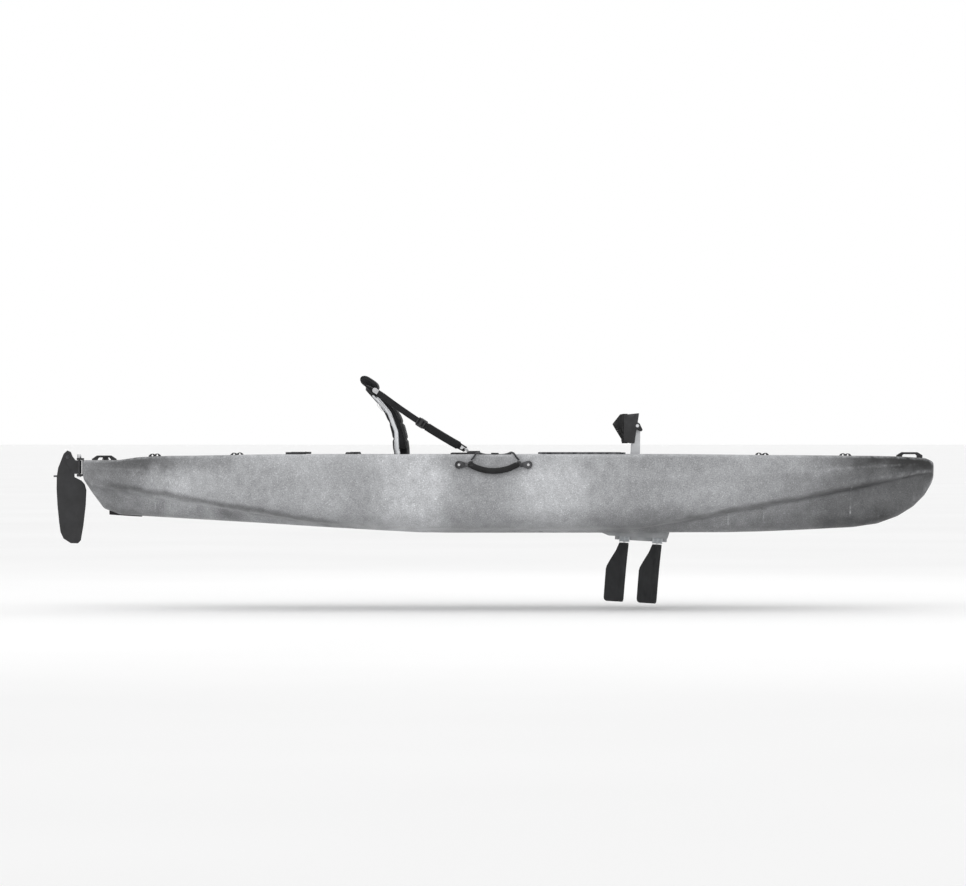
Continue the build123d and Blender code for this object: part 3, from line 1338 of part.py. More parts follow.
with BuildPart() as drive_housing:
    with BuildSketch(Plane.XZ):
        with BuildLine():
            Polyline(
                (HOUSING_AFT_X, SEAT_FLOOR_Z),
                (HOUSING_AFT_X, 0),
                world(-140, POD_V),
                world(112, POD_V),
                (HOUSING_FORE_X, -4),
                (HOUSING_FORE_X, SEAT_FLOOR_Z),
                close=True,
            )
        make_face()
    extrude(amount=HOUSING_HALF_W, both=True)
    for side in SIDES.values():
        with BuildSketch(side_of(side * HOUSING_HALF_W)):
            with Locations(((HOUSING_AFT_X + HOUSING_FORE_X) / 2, (FLANGE_TOP_Z) / 2)):
                RectangleRounded(HOUSING_FORE_X - HOUSING_AFT_X - 24, SEAT_FLOOR_Z - 30, 12)
        extrude(amount=side * (HOUSING_HALF_W - 14), mode=Mode.SUBTRACT)
    with BuildSketch(Plane.XY.offset(SEAT_FLOOR_Z)):
        with Locations(((WELL_AFT_X + WELL_FORE_X) / 2, 0)):
            flange_l = WELL_FORE_X - WELL_AFT_X + 2 * FLANGE_MARGIN
            RectangleRounded(flange_l, 2 * FLANGE_HALF_W, WELL_CORNER_R)
    extrude(amount=FLANGE_T)
    with BuildSketch(Plane.XZ):
        with BuildLine():
            Polyline(
                (CRANK_X - 58, FLANGE_TOP_Z),
                (CRANK_X - 52, CRANK_Z + 8),
                (CRANK_X - 26, HEAD_TOP_Z),
                (CRANK_X + 26, HEAD_TOP_Z),
                (CRANK_X + 52, CRANK_Z + 8),
                (CRANK_X + 58, FLANGE_TOP_Z),
                close=True,
            )
        make_face()
    extrude(amount=HEAD_HALF_W, both=True)
    for side in SIDES.values():
        with BuildSketch(side_of(side * (DRUM_Y[0] - 1))):
            with Locations((CRANK_X, CRANK_Z)):
                Circle(DRUM_ROOM_R)
        extrude(amount=-side * (HEAD_HALF_W - HEAD_WALL - DRUM_Y[0] + 1), mode=Mode.SUBTRACT)
        with BuildSketch(side_of(side * DRUM_Y[0])):
            with Locations((CRANK_X, CRANK_Z)):
                Circle(SLEEVE_R + RUN_FIT)
        extrude(amount=-side * HEAD_HALF_W, mode=Mode.SUBTRACT)
    with BuildSketch(Plane.XZ):
        with Locations((CRANK_X, CRANK_Z)):
            Circle(AXLE_R)
    extrude(amount=HEAD_HALF_W, both=True, mode=Mode.SUBTRACT)
    with BuildSketch(drive_cross(-FIN_SPACING / 2 - SPROCKET_L / 2 - JOURNAL_L - 4)):
        Circle(LUG_R)
        with Locations((0, LUG_R)):
            Rectangle(2 * LUG_R, 2 * LUG_R)
    extrude(amount=FIN_SPACING + SPROCKET_L + 2 * JOURNAL_L + 8)
    for u in FINS.values():
        with BuildSketch(drive_cross(u - SPROCKET_L / 2 - BODY_GAP)):
            Circle(SPROCKET_R + 2)
        extrude(amount=SPROCKET_L + 2 * BODY_GAP, mode=Mode.SUBTRACT)
        with BuildSketch(drive_cross(u - SPROCKET_L / 2 - JOURNAL_L - 1)):
            Circle(JOURNAL_R + RUN_FIT)
        extrude(amount=SPROCKET_L + 2 * JOURNAL_L + 2, mode=Mode.SUBTRACT)
    for x, _ in LATCHES.values():
        for cheek in (-1, 1):
            inner_y = cheek * (LATCH_HALF_W + BODY_GAP)
            with BuildSketch(side_of(inner_y)):
                with Locations((x, LATCH_Z)):
                    Circle(LATCH_R - 1)
                with Locations((x, (FLANGE_TOP_Z + LATCH_Z) / 2)):
                    Rectangle(2 * LATCH_R - 2, LATCH_Z - FLANGE_TOP_Z)
                with Locations((x, LATCH_Z)):
                    Circle(LATCH_PIN_R + RUN_FIT, mode=Mode.SUBTRACT)
            extrude(amount=-cheek * LATCH_LUG_T)
save("drive_housing", drive_housing.part)

with BuildPart() as drive_axle:
    with BuildSketch(Plane.XZ):
        with Locations((CRANK_X, CRANK_Z)):
            Circle(AXLE_R)
    extrude(amount=AXLE_HALF_L, both=True)
    for side in SIDES.values():
        with BuildSketch(side_of(side * AXLE_HALF_L)):
            with Locations((CRANK_X, CRANK_Z)):
                Circle(AXLE_R + 4)
        extrude(amount=-side * 4)
save("drive_axle", drive_axle.part)


def tube_y(x, z, radius, span, side):
    """A round bar along Y between two distances from the centreline."""
    with BuildPart() as bar:
        with BuildSketch(side_of(side * span[0])):
            with Locations((x, z)):
                Circle(radius)
        extrude(amount=-side * (span[1] - span[0]))
    return bar.part


for name, side in SIDES.items():
    with BuildPart() as crank:
        with BuildSketch(side_of(side * CRANK_Y)):
            with Locations((CRANK_X, CRANK_Z)):
                Circle(CRANK_HUB_R)
            with Locations((PEDAL_X, PEDAL_Z)):
                Circle(CRANK_EYE_R)
            make_hull()
        extrude(amount=-side * CRANK_T)
        add(tube_y(CRANK_X, CRANK_Z, SLEEVE_R, (DRUM_Y[1], CRANK_Y), side))
        add(tube_y(PEDAL_X, PEDAL_Z, SPINDLE_R, (CRANK_Y, PEDAL_OUT_Y - 2), side))
        bore = tube_y(CRANK_X, CRANK_Z, AXLE_R + RUN_FIT, (0, 2 * CRANK_Y), side)
        add(bore, mode=Mode.SUBTRACT)
    save(f"crank_{name}", crank.part)

    with BuildPart() as drum:
        add(tube_y(CRANK_X, CRANK_Z, DRUM_R, DRUM_Y, side))
        add(tube_y(CRANK_X, CRANK_Z, AXLE_R + RUN_FIT, (0, 2 * DRUM_Y[1]), side), mode=Mode.SUBTRACT)
        groove_y = side * (DRUM_Y[0] + DRUM_Y[1]) / 2
        with BuildSketch(side_of(groove_y)):
            with Locations((CRANK_X, CRANK_Z)):
                Circle(DRUM_R + 1)
                Circle(DRUM_R - 4, mode=Mode.SUBTRACT)
        extrude(amount=8, both=True, mode=Mode.SUBTRACT)
    save(f"drum_{name}", drum.part)

    with BuildPart() as pedal:
        low = (PEDAL_X - 22, PEDAL_LOW_Z)
        high = (PEDAL_X - 2, PEDAL_TOP_Z)
        with BuildSketch(side_of(side * PEDAL_IN_Y)):
            with BuildLine():
                low_front = (low[0] + PEDAL_PLATE_T, low[1])
                high_front = (high[0] + PEDAL_PLATE_T, high[1])
                Polyline(low, low_front, high_front, high, close=True)
            make_face()
        extrude(amount=-side * (PEDAL_OUT_Y - PEDAL_IN_Y))
        for y in (PEDAL_IN_Y, PEDAL_OUT_Y - PEDAL_GUARD_T):
            with BuildSketch(side_of(side * y)):
                with BuildLine():
                    Polyline(
                        (low[0] + 2, low[1]),
                        (high[0] + 2, high[1]),
                        (PEDAL_GUARD_AFT_X, PEDAL_TOP_Z - 6),
                        (PEDAL_GUARD_AFT_X, PEDAL_LOW_Z + 8),
                        close=True,
                    )
                make_face()
            extrude(amount=-side * PEDAL_GUARD_T)
        add(tube_y(PEDAL_X, PEDAL_Z, PEDAL_SLEEVE_R, (PEDAL_IN_Y, PEDAL_OUT_Y), side))
        with BuildSketch(side_of(side * (PEDAL_IN_Y + 14))):
            with Locations((PEDAL_X, PEDAL_Z)):
                Circle(PEDAL_SLEEVE_R)
            with Locations((PEDAL_X + 15, PEDAL_Z - 17)):
                Circle(7)
            make_hull()
        extrude(amount=-side * (PEDAL_OUT_Y - PEDAL_IN_Y - 28))
        spindle = tube_y(PEDAL_X, PEDAL_Z, SPINDLE_R + RUN_FIT, (0, PEDAL_OUT_Y), side)
        add(spindle, mode=Mode.SUBTRACT)
    save(f"pedal_{name}", pedal.part)

    with BuildPart() as pedal_strap:
        near = side * (PEDAL_IN_Y + PEDAL_GUARD_T)
        far = side * (PEDAL_OUT_Y - PEDAL_GUARD_T)
        start_x = PEDAL_GUARD_AFT_X + 16
        with BuildSketch(Plane.XY.offset(PEDAL_LOW_Z)):
            with BuildLine():
                outer_apex = (PEDAL_STRAP_AFT_X, (near + far) / 2)
                Line((start_x, near), (PEDAL_GUARD_AFT_X, near))
                ThreePointArc((PEDAL_GUARD_AFT_X, near), outer_apex, (PEDAL_GUARD_AFT_X, far))
                Line((PEDAL_GUARD_AFT_X, far), (start_x, far))
                inset = side * PEDAL_STRAP_T
                Line((start_x, far), (start_x, far - inset))
                Line((start_x, far - inset), (PEDAL_GUARD_AFT_X, far - inset))
                inner_apex = (PEDAL_STRAP_AFT_X + PEDAL_STRAP_T, (near + far) / 2)
                ThreePointArc((PEDAL_GUARD_AFT_X, far - inset), inner_apex, (PEDAL_GUARD_AFT_X, near + inset))
                Line((PEDAL_GUARD_AFT_X, near + inset), (start_x, near + inset))
                Line((start_x, near + inset), (start_x, near))
            make_face()
        extrude(amount=PEDAL_TOP_Z - PEDAL_LOW_Z)
        with BuildSketch(Plane.XZ):
            with BuildLine():
                Polyline((start_x, PEDAL_TOP_Z - 2), *STRAP_EDGE, (start_x, PEDAL_LOW_Z), close=True)
            make_face()
        extrude(amount=2 * PEDAL_OUT_Y, both=True, mode=Mode.INTERSECT)
        with BuildSketch(Plane.XZ):
            for at, length in STRAP_SLOTS:
                with Locations(at):
                    SlotOverall(length, 7, rotation=STRAP_SLOT_SLOPE)
        extrude(amount=2 * PEDAL_OUT_Y, both=True, mode=Mode.SUBTRACT)
    save(f"pedal_strap_{name}", pedal_strap.part)


# ---------------------------------------------------------------- fins
FIN_ROOT_V = -(SPROCKET_R + FIN_GAP)
MAST_HOLE_V = -8.0  # how far up into the sprocket the mast reaches
FIN_SECTIONS = [(FIN_ROOT_V, 20.0, 21.0, 8.0), (-131.0, 15.0, 72.0, 8.0), (-279.0, 10.0, 75.0, 7.0)]
FIN_EDGE_T = 2.0


def fin_section(plane, fore, aft, half_t):
    """A foil with its mast at the origin, its nose at fore and its edge at -aft."""
    with BuildSketch(plane) as section:
        with BuildLine():
            Spline(
                (0, half_t),
                (0.72 * fore, 0.66 * half_t),
                (fore, 0),
                (0.72 * fore, -0.66 * half_t),
                (0, -half_t),
                tangents=[(1, 0), (-1, 0)],
            )
            Polyline(
                (0, -half_t),
                (-0.5 * aft, -0.62 * half_t),
                (-aft, -FIN_EDGE_T / 2),
                (-aft, FIN_EDGE_T / 2),
                (-0.5 * aft, 0.62 * half_t),
                (0, half_t),
            )
        make_face()
    return section.sketch


for name, u in FINS.items():
    with BuildPart() as fin_sprocket:
        with BuildSketch(drive_cross(u - SPROCKET_L / 2)):
            Circle(SPROCKET_R)
        extrude(amount=SPROCKET_L)
        with BuildSketch(drive_cross(u - SPROCKET_L / 2 - JOURNAL_L)):
            Circle(JOURNAL_R)
        extrude(amount=SPROCKET_L + 2 * JOURNAL_L)
        with BuildSketch(drive_level(u, MAST_HOLE_V)):
            Circle(MAST_R)
        extrude(amount=-2 * SPROCKET_R, mode=Mode.SUBTRACT)
    save(f"fin_sprocket_{name}", fin_sprocket.part)

    with BuildPart() as fin_mast:
        with BuildSketch(drive_level(u, MAST_HOLE_V)):
            Circle(MAST_R)
        extrude(amount=-MAST_L - MAST_HOLE_V)
    save(f"fin_mast_{name}", fin_mast.part)

    with BuildPart() as fin:
        for v, fore, aft, half_t in FIN_SECTIONS:
            add(fin_section(drive_level(u, v), fore, aft, half_t))
        loft(ruled=True)
        with BuildSketch(drive_level(u, 0)):
            Circle(MAST_R + RUN_FIT)
        extrude(amount=-MAST_L - 0.5, mode=Mode.SUBTRACT)
    save(f"fin_{name}", fin.part)

for name, (x, way) in LATCHES.items():
    with BuildPart() as latch:
        with BuildSketch(Plane.XZ):
            with Locations((x, LATCH_Z)):
                Circle(LATCH_R)
            with Locations((x + way * LATCH_LENGTH, LATCH_Z - 3)):
                Circle(4.5)
            make_hull()
        extrude(amount=LATCH_HALF_W, both=True)
        with BuildSketch(Plane.XZ):
            with Locations((x, LATCH_Z)):
                Circle(LATCH_PIN_R)
        extrude(amount=LATCH_HALF_W + BODY_GAP + LATCH_LUG_T, both=True)
    save(f"drive_latch_{name}", latch.part)


# ---------------------------------------------------------------- rudder
with BuildPart() as rudder_bracket:
    with BuildSketch(Plane.YZ.offset(STERN_X - BRACKET_PLATE_T)):
        with Locations((0, sum(BRACKET_Z) / 2)):
            RectangleRounded(2 * BRACKET_HALF_W, BRACKET_Z[1] - BRACKET_Z[0], 5)
    extrude(amount=BRACKET_PLATE_T)
    for low_z in (BRACKET_Z[0], BRACKET_Z[1] - BRACKET_LUG_T):
        with BuildSketch(Plane.XY.offset(low_z)):
            with Locations((PINTLE_X, 0)):
                Circle(BRACKET_LUG_R)
            with Locations(((PINTLE_X + STERN_X) / 2, 0)):
                Rectangle(STERN_X - PINTLE_X, 2 * BRACKET_LUG_R)
            with Locations((PINTLE_X, 0)):
                Circle(PINTLE_R, mode=Mode.SUBTRACT)
        extrude(amount=BRACKET_LUG_T)
save("rudder_bracket", rudder_bracket.part)

with BuildPart() as rudder_pintle:
    with BuildSketch(Plane.XY.offset(BRACKET_Z[0] - 4)):
        with Locations((PINTLE_X, 0)):
            Circle(PINTLE_R)
    extrude(amount=BRACKET_Z[1] - BRACKET_Z[0] + 8)
    for start_z, length in ((BRACKET_Z[0], -3.0), (BRACKET_Z[1], PINTLE_CAP_H)):
        with BuildSketch(Plane.XY.offset(start_z)):
            with Locations((PINTLE_X, 0)):
                Circle(PINTLE_CAP_R)
        extrude(amount=length)
save("rudder_pintle", rudder_pintle.part)

BARREL_Z = (BRACKET_Z[0] + BRACKET_LUG_T + BODY_GAP, BRACKET_Z[1] - BRACKET_LUG_T - BODY_GAP)
CHEEK_IN_Y = BLADE_T / 2 + BLADE_SIDE_GAP
with BuildPart() as rudder_yoke:
    with BuildSketch(Plane.XY.offset(BARREL_Z[0])):
        with Locations((PINTLE_X, 0)):
            Circle(BARREL_R)
    extrude(amount=BARREL_Z[1] - BARREL_Z[0])
    for cheek in (-1, 1):
        with BuildSketch(side_of(cheek * CHEEK_IN_Y)):
            with BuildLine():
                Polyline(
                    (PINTLE_X, BARREL_Z[0]),
                    (PINTLE_X, BARREL_Z[1]),
                    (PINTLE_X - 16, BARREL_Z[1]),
                    (BOLT_X + 12, BOLT_Z + 13),
                    (BOLT_X - 8, BOLT_Z + 13),
                    (BOLT_X - 15, BOLT_Z),
                    (BOLT_X - 10, BOLT_Z - 18),
                    (PINTLE_X - 26, BARREL_Z[0]),
                    close=True,
                )
            make_face()
            with Locations((BOLT_X, BOLT_Z)):
                Circle(BOLT_R, mode=Mode.SUBTRACT)
        extrude(amount=-cheek * CHEEK_T)
    with BuildSketch(Plane.XY.offset(BARREL_Z[0])):
        with Locations((PINTLE_X, 0)):
            Circle(PINTLE_R + RUN_FIT)
    extrude(amount=BARREL_Z[1] - BARREL_Z[0], mode=Mode.SUBTRACT)
save("rudder_yoke", rudder_yoke.part)

BLADE_HEAD = [(-1868, 236), (-1869, 306), (-1884, 344), (-1899, 351), (-1915, 337), (-1939, 276)]
BLADE_TRAILING = [(-1945, 239), (-1946, 187), (-1942, 115), (-1935, 43), (-1929, 0)]
BLADE_TIP = [(-1916, -28), (-1885, -48), (-1853, -49), (-1841, -36)]
BLADE_LEADING = [(-1830, 28), (-1820, 115), (-1817, 180), (-1824, 205), (-1838, 221)]
with BuildPart() as rudder_blade:
    with BuildSketch(Plane.XZ):
        with BuildLine():
            Polyline(*BLADE_HEAD, *BLADE_TRAILING, *BLADE_TIP, *BLADE_LEADING, close=True)
        make_face()
        with Locations((BOLT_X, BOLT_Z)):
            Circle(BOLT_R + RUN_FIT, mode=Mode.SUBTRACT)
    extrude(amount=BLADE_T / 2, both=True)
    with BuildSketch(Plane.YZ.offset(KNOB_AFT_X)):
        with Locations((0, KNOB_Z)):
            Circle(KNOB_R)
    extrude(amount=BLADE_TRAILING[0][0] - KNOB_AFT_X + 4)
save("rudder_blade", rudder_blade.part)

with BuildPart() as rudder_bolt:
    reach = CHEEK_IN_Y + CHEEK_T
    with BuildSketch(Plane.XZ):
        with Locations((BOLT_X, BOLT_Z)):
            Circle(BOLT_R)
    extrude(amount=reach, both=True)
    for end in (-1, 1):
        with BuildSketch(side_of(end * reach)):
            with Locations((BOLT_X, BOLT_Z)):
                RegularPolygon(BOLT_R + 4, 6)
        extrude(amount=-end * 5)
save("rudder_bolt", rudder_bolt.part)


# ---------------------------------------------------------------- steering
STEER_WALL_Y = COCKPIT_HALF_W - tan(radians(POCKET_DRAFT)) * (POCKET_TOP_Z - STEER_Z)
with BuildPart() as steering_base:
    with BuildSketch(Plane.XY.offset(STEER_Z - STEER_PLATE_T)):
        inner_y = STEER_Y - STEER_HUB_R
        outer_y = STEER_WALL_Y + WALL / 2
        with Locations((STEER_X, (inner_y + outer_y) / 2)):
            RectangleRounded(STEER_BASE_L, outer_y - inner_y, 3)
    extrude(amount=STEER_PLATE_T)
    with BuildSketch(Plane.XY.offset(STEER_Z - 30)):
        with Locations((STEER_X, STEER_WALL_Y - 2)):
            Rectangle(STEER_BASE_L, 8)
    extrude(amount=30)
    with BuildSketch(Plane.XY.offset(STEER_Z)):
        with Locations((STEER_X, STEER_Y)):
            Circle(STEER_PIN_R)
    extrude(amount=16)
    add(moulding.part, mode=Mode.SUBTRACT)
save("steering_base", steering_base.part)

with BuildPart() as steering_handle:
    with BuildSketch(Plane.XY.offset(STEER_Z + BODY_GAP)):
        with Locations((STEER_X, STEER_Y)):
            Circle(STEER_HUB_R)
        with Locations((STEER_X + STEER_ARM, STEER_Y)):
            Circle(STEER_KNOB_R - 3)
        make_hull()
    extrude(amount=10)
    with BuildSketch(Plane.XY.offset(STEER_Z + BODY_GAP)):
        with Locations((STEER_X + STEER_ARM, STEER_Y)):
            Circle(STEER_KNOB_R)
    extrude(amount=34)
    fillet(steering_handle.faces().sort_by(Axis.Z)[-1].edges(), 5)
    with BuildSketch(Plane.XY.offset(STEER_Z)):
        with Locations((STEER_X, STEER_Y)):
            Circle(STEER_PIN_R + RUN_FIT)
    extrude(amount=20, mode=Mode.SUBTRACT)
save("steering_handle", steering_handle.part)
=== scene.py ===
import json
from math import cos, pi, radians, sin

import bmesh
import bpy
import numpy as np
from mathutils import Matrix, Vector
from mathutils.bvhtree import BVHTree


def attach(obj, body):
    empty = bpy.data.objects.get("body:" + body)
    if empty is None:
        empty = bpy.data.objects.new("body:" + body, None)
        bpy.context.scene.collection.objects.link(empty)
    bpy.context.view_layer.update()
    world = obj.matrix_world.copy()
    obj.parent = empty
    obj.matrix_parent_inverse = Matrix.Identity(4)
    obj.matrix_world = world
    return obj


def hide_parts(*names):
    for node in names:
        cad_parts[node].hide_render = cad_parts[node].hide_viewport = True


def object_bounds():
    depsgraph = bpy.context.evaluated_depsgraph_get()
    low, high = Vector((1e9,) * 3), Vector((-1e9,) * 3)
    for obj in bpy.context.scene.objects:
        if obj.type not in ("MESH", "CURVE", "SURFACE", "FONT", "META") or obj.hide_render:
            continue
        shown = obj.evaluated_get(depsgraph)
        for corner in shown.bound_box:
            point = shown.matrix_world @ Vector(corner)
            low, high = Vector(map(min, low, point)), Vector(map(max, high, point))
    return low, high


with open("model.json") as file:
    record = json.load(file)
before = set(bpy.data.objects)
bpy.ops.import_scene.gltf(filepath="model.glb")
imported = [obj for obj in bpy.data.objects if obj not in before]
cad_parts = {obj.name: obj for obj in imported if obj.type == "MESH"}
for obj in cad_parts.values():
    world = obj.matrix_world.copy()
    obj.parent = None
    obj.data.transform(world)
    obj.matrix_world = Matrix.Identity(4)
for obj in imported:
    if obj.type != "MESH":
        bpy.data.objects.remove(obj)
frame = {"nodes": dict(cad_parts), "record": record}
cad_low, cad_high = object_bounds()
nodes = frame["nodes"]

SIDES = {"left": 1, "right": -1}  # port is +Y
MM = 0.001
SMOOTH_VIEW = 0.6  # radians: shading breaks at edges sharper than this
SMOOTH_HULL = 0.9  # the same for the softer hull


# ---------------------------------------------------------------- mesh helpers
def new_object(name, mesh):
    piece = bpy.data.objects.new(name, mesh)
    bpy.context.scene.collection.objects.link(piece)
    return piece


def mesh_object(name, points, faces):
    """An object from points in millimetres."""
    mesh = bpy.data.meshes.new(name)
    mesh.from_pydata([Vector(p) * MM for p in points], [], faces)
    mesh.update()
    shade(mesh)
    return new_object(name, mesh)


def shade(mesh, angle=SMOOTH_VIEW):
    work = bmesh.new()
    work.from_mesh(mesh)
    bmesh.ops.recalc_face_normals(work, faces=work.faces)
    for face in work.faces:
        face.smooth = True
    for edge in work.edges:
        edge.smooth = len(edge.link_faces) == 2 and edge.calc_face_angle(0.0) < angle
    work.to_mesh(mesh)
    work.free()


def bake_modifiers(piece):
    """Turns what the modifiers make into the piece's own mesh."""
    graph = bpy.context.evaluated_depsgraph_get()
    made = bpy.data.meshes.new_from_object(piece.evaluated_get(graph))
    piece.modifiers.clear()
    piece.data = made
    for face in made.polygons:
        face.use_smooth = True
    return piece


def add_modifier(piece, kind, **settings):
    modifier = piece.modifiers.new(kind.title(), kind)
    for key, value in settings.items():
        setattr(modifier, key, value)
    return modifier


def remesh(piece, voxel, smooth=0):
    add_modifier(piece, "REMESH", mode="VOXEL", voxel_size=voxel, use_smooth_shade=True)
    if smooth:
        add_modifier(piece, "SMOOTH", factor=0.5, iterations=smooth)
    return bake_modifiers(piece)


def subdivide(piece):
    add_modifier(piece, "SUBSURF", levels=1, render_levels=1)
    return bake_modifiers(piece)


def coordinates(piece):
    flat = np.zeros(len(piece.data.vertices) * 3)
    piece.data.vertices.foreach_get("co", flat)
    return flat.reshape(-1, 3)


def set_coordinates(piece, points):
    piece.data.vertices.foreach_set("co", points.reshape(-1))
    piece.data.update()


def normals(piece):
    flat = np.zeros(len(piece.data.vertices) * 3)
    piece.data.vertices.foreach_get("normal", flat)
    return flat.reshape(-1, 3)


def cut(piece, cutter):
    add_modifier(piece, "BOOLEAN", operation="DIFFERENCE", solver="EXACT", object=cutter)
    bake_modifiers(piece)
    bpy.data.objects.remove(cutter)


def rod(name, start, end, radius, sides=48):
    """A closed round bar between two points, in millimetres."""
    start, end = Vector(start), Vector(end)
    along = (end - start).normalized()
    across = along.orthogonal().normalized()
    third = along.cross(across)
    points = []
    for centre in (start, end):
        for i in range(sides):
            turn = 2 * pi * i / sides
            points.append(centre + radius * (cos(turn) * across + sin(turn) * third))
    faces = [(i, (i + 1) % sides, sides + (i + 1) % sides, sides + i) for i in range(sides)]
    faces += [tuple(range(sides)), tuple(range(2 * sides - 1, sides - 1, -1))]
    return mesh_object(name, points, faces)


def loft(name, rings):
    """A closed skin over rings of the same number of points."""
    count = len(rings[0])
    points = [p for ring in rings for p in ring]
    faces = []
    for r in range(len(rings) - 1):
        for i in range(count):
            j = (i + 1) % count
            faces.append((r * count + i, r * count + j, (r + 1) * count + j, (r + 1) * count + i))
    last = (len(rings) - 1) * count
    faces.append(tuple(range(count)))
    faces.append(tuple(range(last + count - 1, last - 1, -1)))
    return mesh_object(name, points, faces)


def extruded(name, outline, low_y, high_y):
    """A side-view outline of X and Z, drawn out along Y."""
    return loft(name, [[(x, y, z) for x, z in outline] for y in (low_y, high_y)])


def ease(value, start, end):
    """Rises smoothly from 0 at start to 1 at end."""
    t = min(1.0, max(0.0, (value - start) / (end - start)))
    return t * t * (3 - 2 * t)


def closed_tube(name, points, radius):
    """A round piping that follows a loop of points in metres."""
    data = bpy.data.curves.new(name, "CURVE")
    data.dimensions = "3D"
    data.bevel_depth = radius
    data.bevel_resolution = 3
    line = data.splines.new("POLY")
    line.points.add(len(points) - 1)
    for at, point in zip(line.points, points):
        at.co = (*point, 1)
    line.use_cyclic_u = True
    return new_object(name, data)


# ---------------------------------------------------------------- materials
def node(tree, kind, **settings):
    """A shader node. A setting named in_ and then a name or a number is the value of that input."""
    made = tree.nodes.new("ShaderNode" + kind)
    for key, value in settings.items():
        if key.startswith("in_"):
            socket = key[3:]
            made.inputs[int(socket) if socket.isdigit() else socket].default_value = value
        else:
            setattr(made, key, value)
    return made


def math_node(tree, operation, first, second=None):
    made = node(tree, "Math", operation=operation)
    for socket, value in zip(made.inputs, (first, second)):
        if isinstance(value, (int, float)):
            socket.default_value = value
        elif value is not None:
            tree.links.new(value, socket)
    return made.outputs[0]


def place(tree, scale=(1, 1, 1)):
    """Coordinates on the piece, in metres times scale."""
    where = node(tree, "TexCoord")
    mapping = node(tree, "Mapping", in_Scale=scale)
    tree.links.new(where.outputs["Object"], mapping.inputs["Vector"])
    return mapping.outputs["Vector"]


def noise(tree, size, detail=3.0, stretch=(1, 1, 1), rough=0.55):
    """Noise whose features are about size metres across."""
    made = node(tree, "TexNoise", in_Scale=1 / size, in_Detail=detail, in_Roughness=rough)
    tree.links.new(place(tree, stretch), made.inputs["Vector"])
    return made.outputs["Fac"]


def ramp(tree, value, stops):
    """A colour from a value, through stops of (value, colour)."""
    made = node(tree, "ValToRGB")
    points = made.color_ramp.elements
    while len(points) < len(stops):
        points.new(0.5)
    for point, (at, shade_of) in zip(points, stops):
        point.position = at
        point.color = (*shade_of, 1)
    tree.links.new(value, made.inputs["Fac"])
    return made.outputs["Color"]


def mix(tree, amount, first, second, blend="MIX"):
    made = node(tree, "Mix", data_type="RGBA", blend_type=blend)
    for socket, value in zip((made.inputs[0], made.inputs[6], made.inputs[7]), (amount, first, second)):
        if isinstance(value, (int, float)):
            socket.default_value = value
        elif isinstance(value, tuple):
            socket.default_value = (*value, 1)
        else:
            tree.links.new(value, socket)
    return made.outputs[2]


def spread(tree, value, low, high, to_low=0.0, to_high=1.0):
    """The value, clamped between low and high and mapped onto to_low and to_high."""
    made = node(tree, "MapRange", in_1=low, in_2=high, in_3=to_low, in_4=to_high)
    tree.links.new(value, made.inputs["Value"])
    return made.outputs[0]


def bump(tree, shader, height, distance, strength):
    made = node(tree, "Bump", in_Distance=distance, in_Strength=strength)
    tree.links.new(height, made.inputs["Height"])
    before = shader.inputs["Normal"].links
    if before:
        tree.links.new(before[0].from_socket, made.inputs["Normal"])
    tree.links.new(made.outputs["Normal"], shader.inputs["Normal"])


def start_material(name, metallic=0.0, specular=0.5, sheen=0.0, coat=0.0):
    made = bpy.data.materials.new(name)
    made.use_nodes = True
    tree = made.node_tree
    shader = tree.nodes["Principled BSDF"]
    shader.inputs["Metallic"].default_value = metallic
    shader.inputs["Specular IOR Level"].default_value = specular
    shader.inputs["Sheen Weight"].default_value = sheen
    shader.inputs["Coat Weight"].default_value = coat
    return made, tree, shader


def wear(tree, low=0.52, high=0.60):
    """1 along sharp outward edges, broken up by noise."""
    edge = node(tree, "NewGeometry").outputs["Pointiness"]
    rubbed = spread(tree, edge, low, high)
    return math_node(tree, "MULTIPLY", rubbed, spread(tree, noise(tree, 0.02), 0.35, 0.75))


def moulded(name, dark, light, rough, grain, grain_depth, edge, specular=0.5):
    """Moulded plastic or rubber: cloudy colour, a fine grain, and rubbed edges."""
    made, tree, shader = start_material(name, specular=specular)
    cloud = ramp(tree, noise(tree, 0.06, 5), [(0.3, dark), (0.7, light)])
    scuffed = mix(tree, wear(tree), cloud, edge)
    tree.links.new(scuffed, shader.inputs["Base Color"])
    patchy = spread(tree, noise(tree, 0.025, 4), 0.3, 0.7, rough - 0.07, rough + 0.09)
    tree.links.new(patchy, shader.inputs["Roughness"])
    bump(tree, shader, noise(tree, grain, 2), grain_depth, 0.7)
    bump(tree, shader, noise(tree, 0.05, 2), 0.0006, 0.35)
    return made


def metal(name, colour, rough, stretch, edge):
    """Bare or anodised metal, brushed along the direction that stretch leaves out."""
    made, tree, shader = start_material(name, metallic=1.0)
    lines = noise(tree, 0.0012, 2, stretch)
    tone = ramp(tree, noise(tree, 0.05, 4), [(0.3, tuple(c * 0.82 for c in colour)), (0.7, colour)])
    tree.links.new(mix(tree, wear(tree), tone, edge), shader.inputs["Base Color"])
    streaks = spread(tree, lines, 0.25, 0.75, rough - 0.08, rough + 0.1)
    tree.links.new(streaks, shader.inputs["Roughness"])
    bump(tree, shader, lines, 0.00008, 0.5)
    return made


WAVE_PER_SCALE = 3.18  # waves in a metre of a wave texture whose scale is 1


def wave(tree, direction, size):
    scale = 1 / size / WAVE_PER_SCALE
    made = node(tree, "TexWave", bands_direction=direction, in_Scale=scale, in_Distortion=0.0)
    tree.links.new(place(tree), made.inputs["Vector"])
    return made.outputs["Fac"]


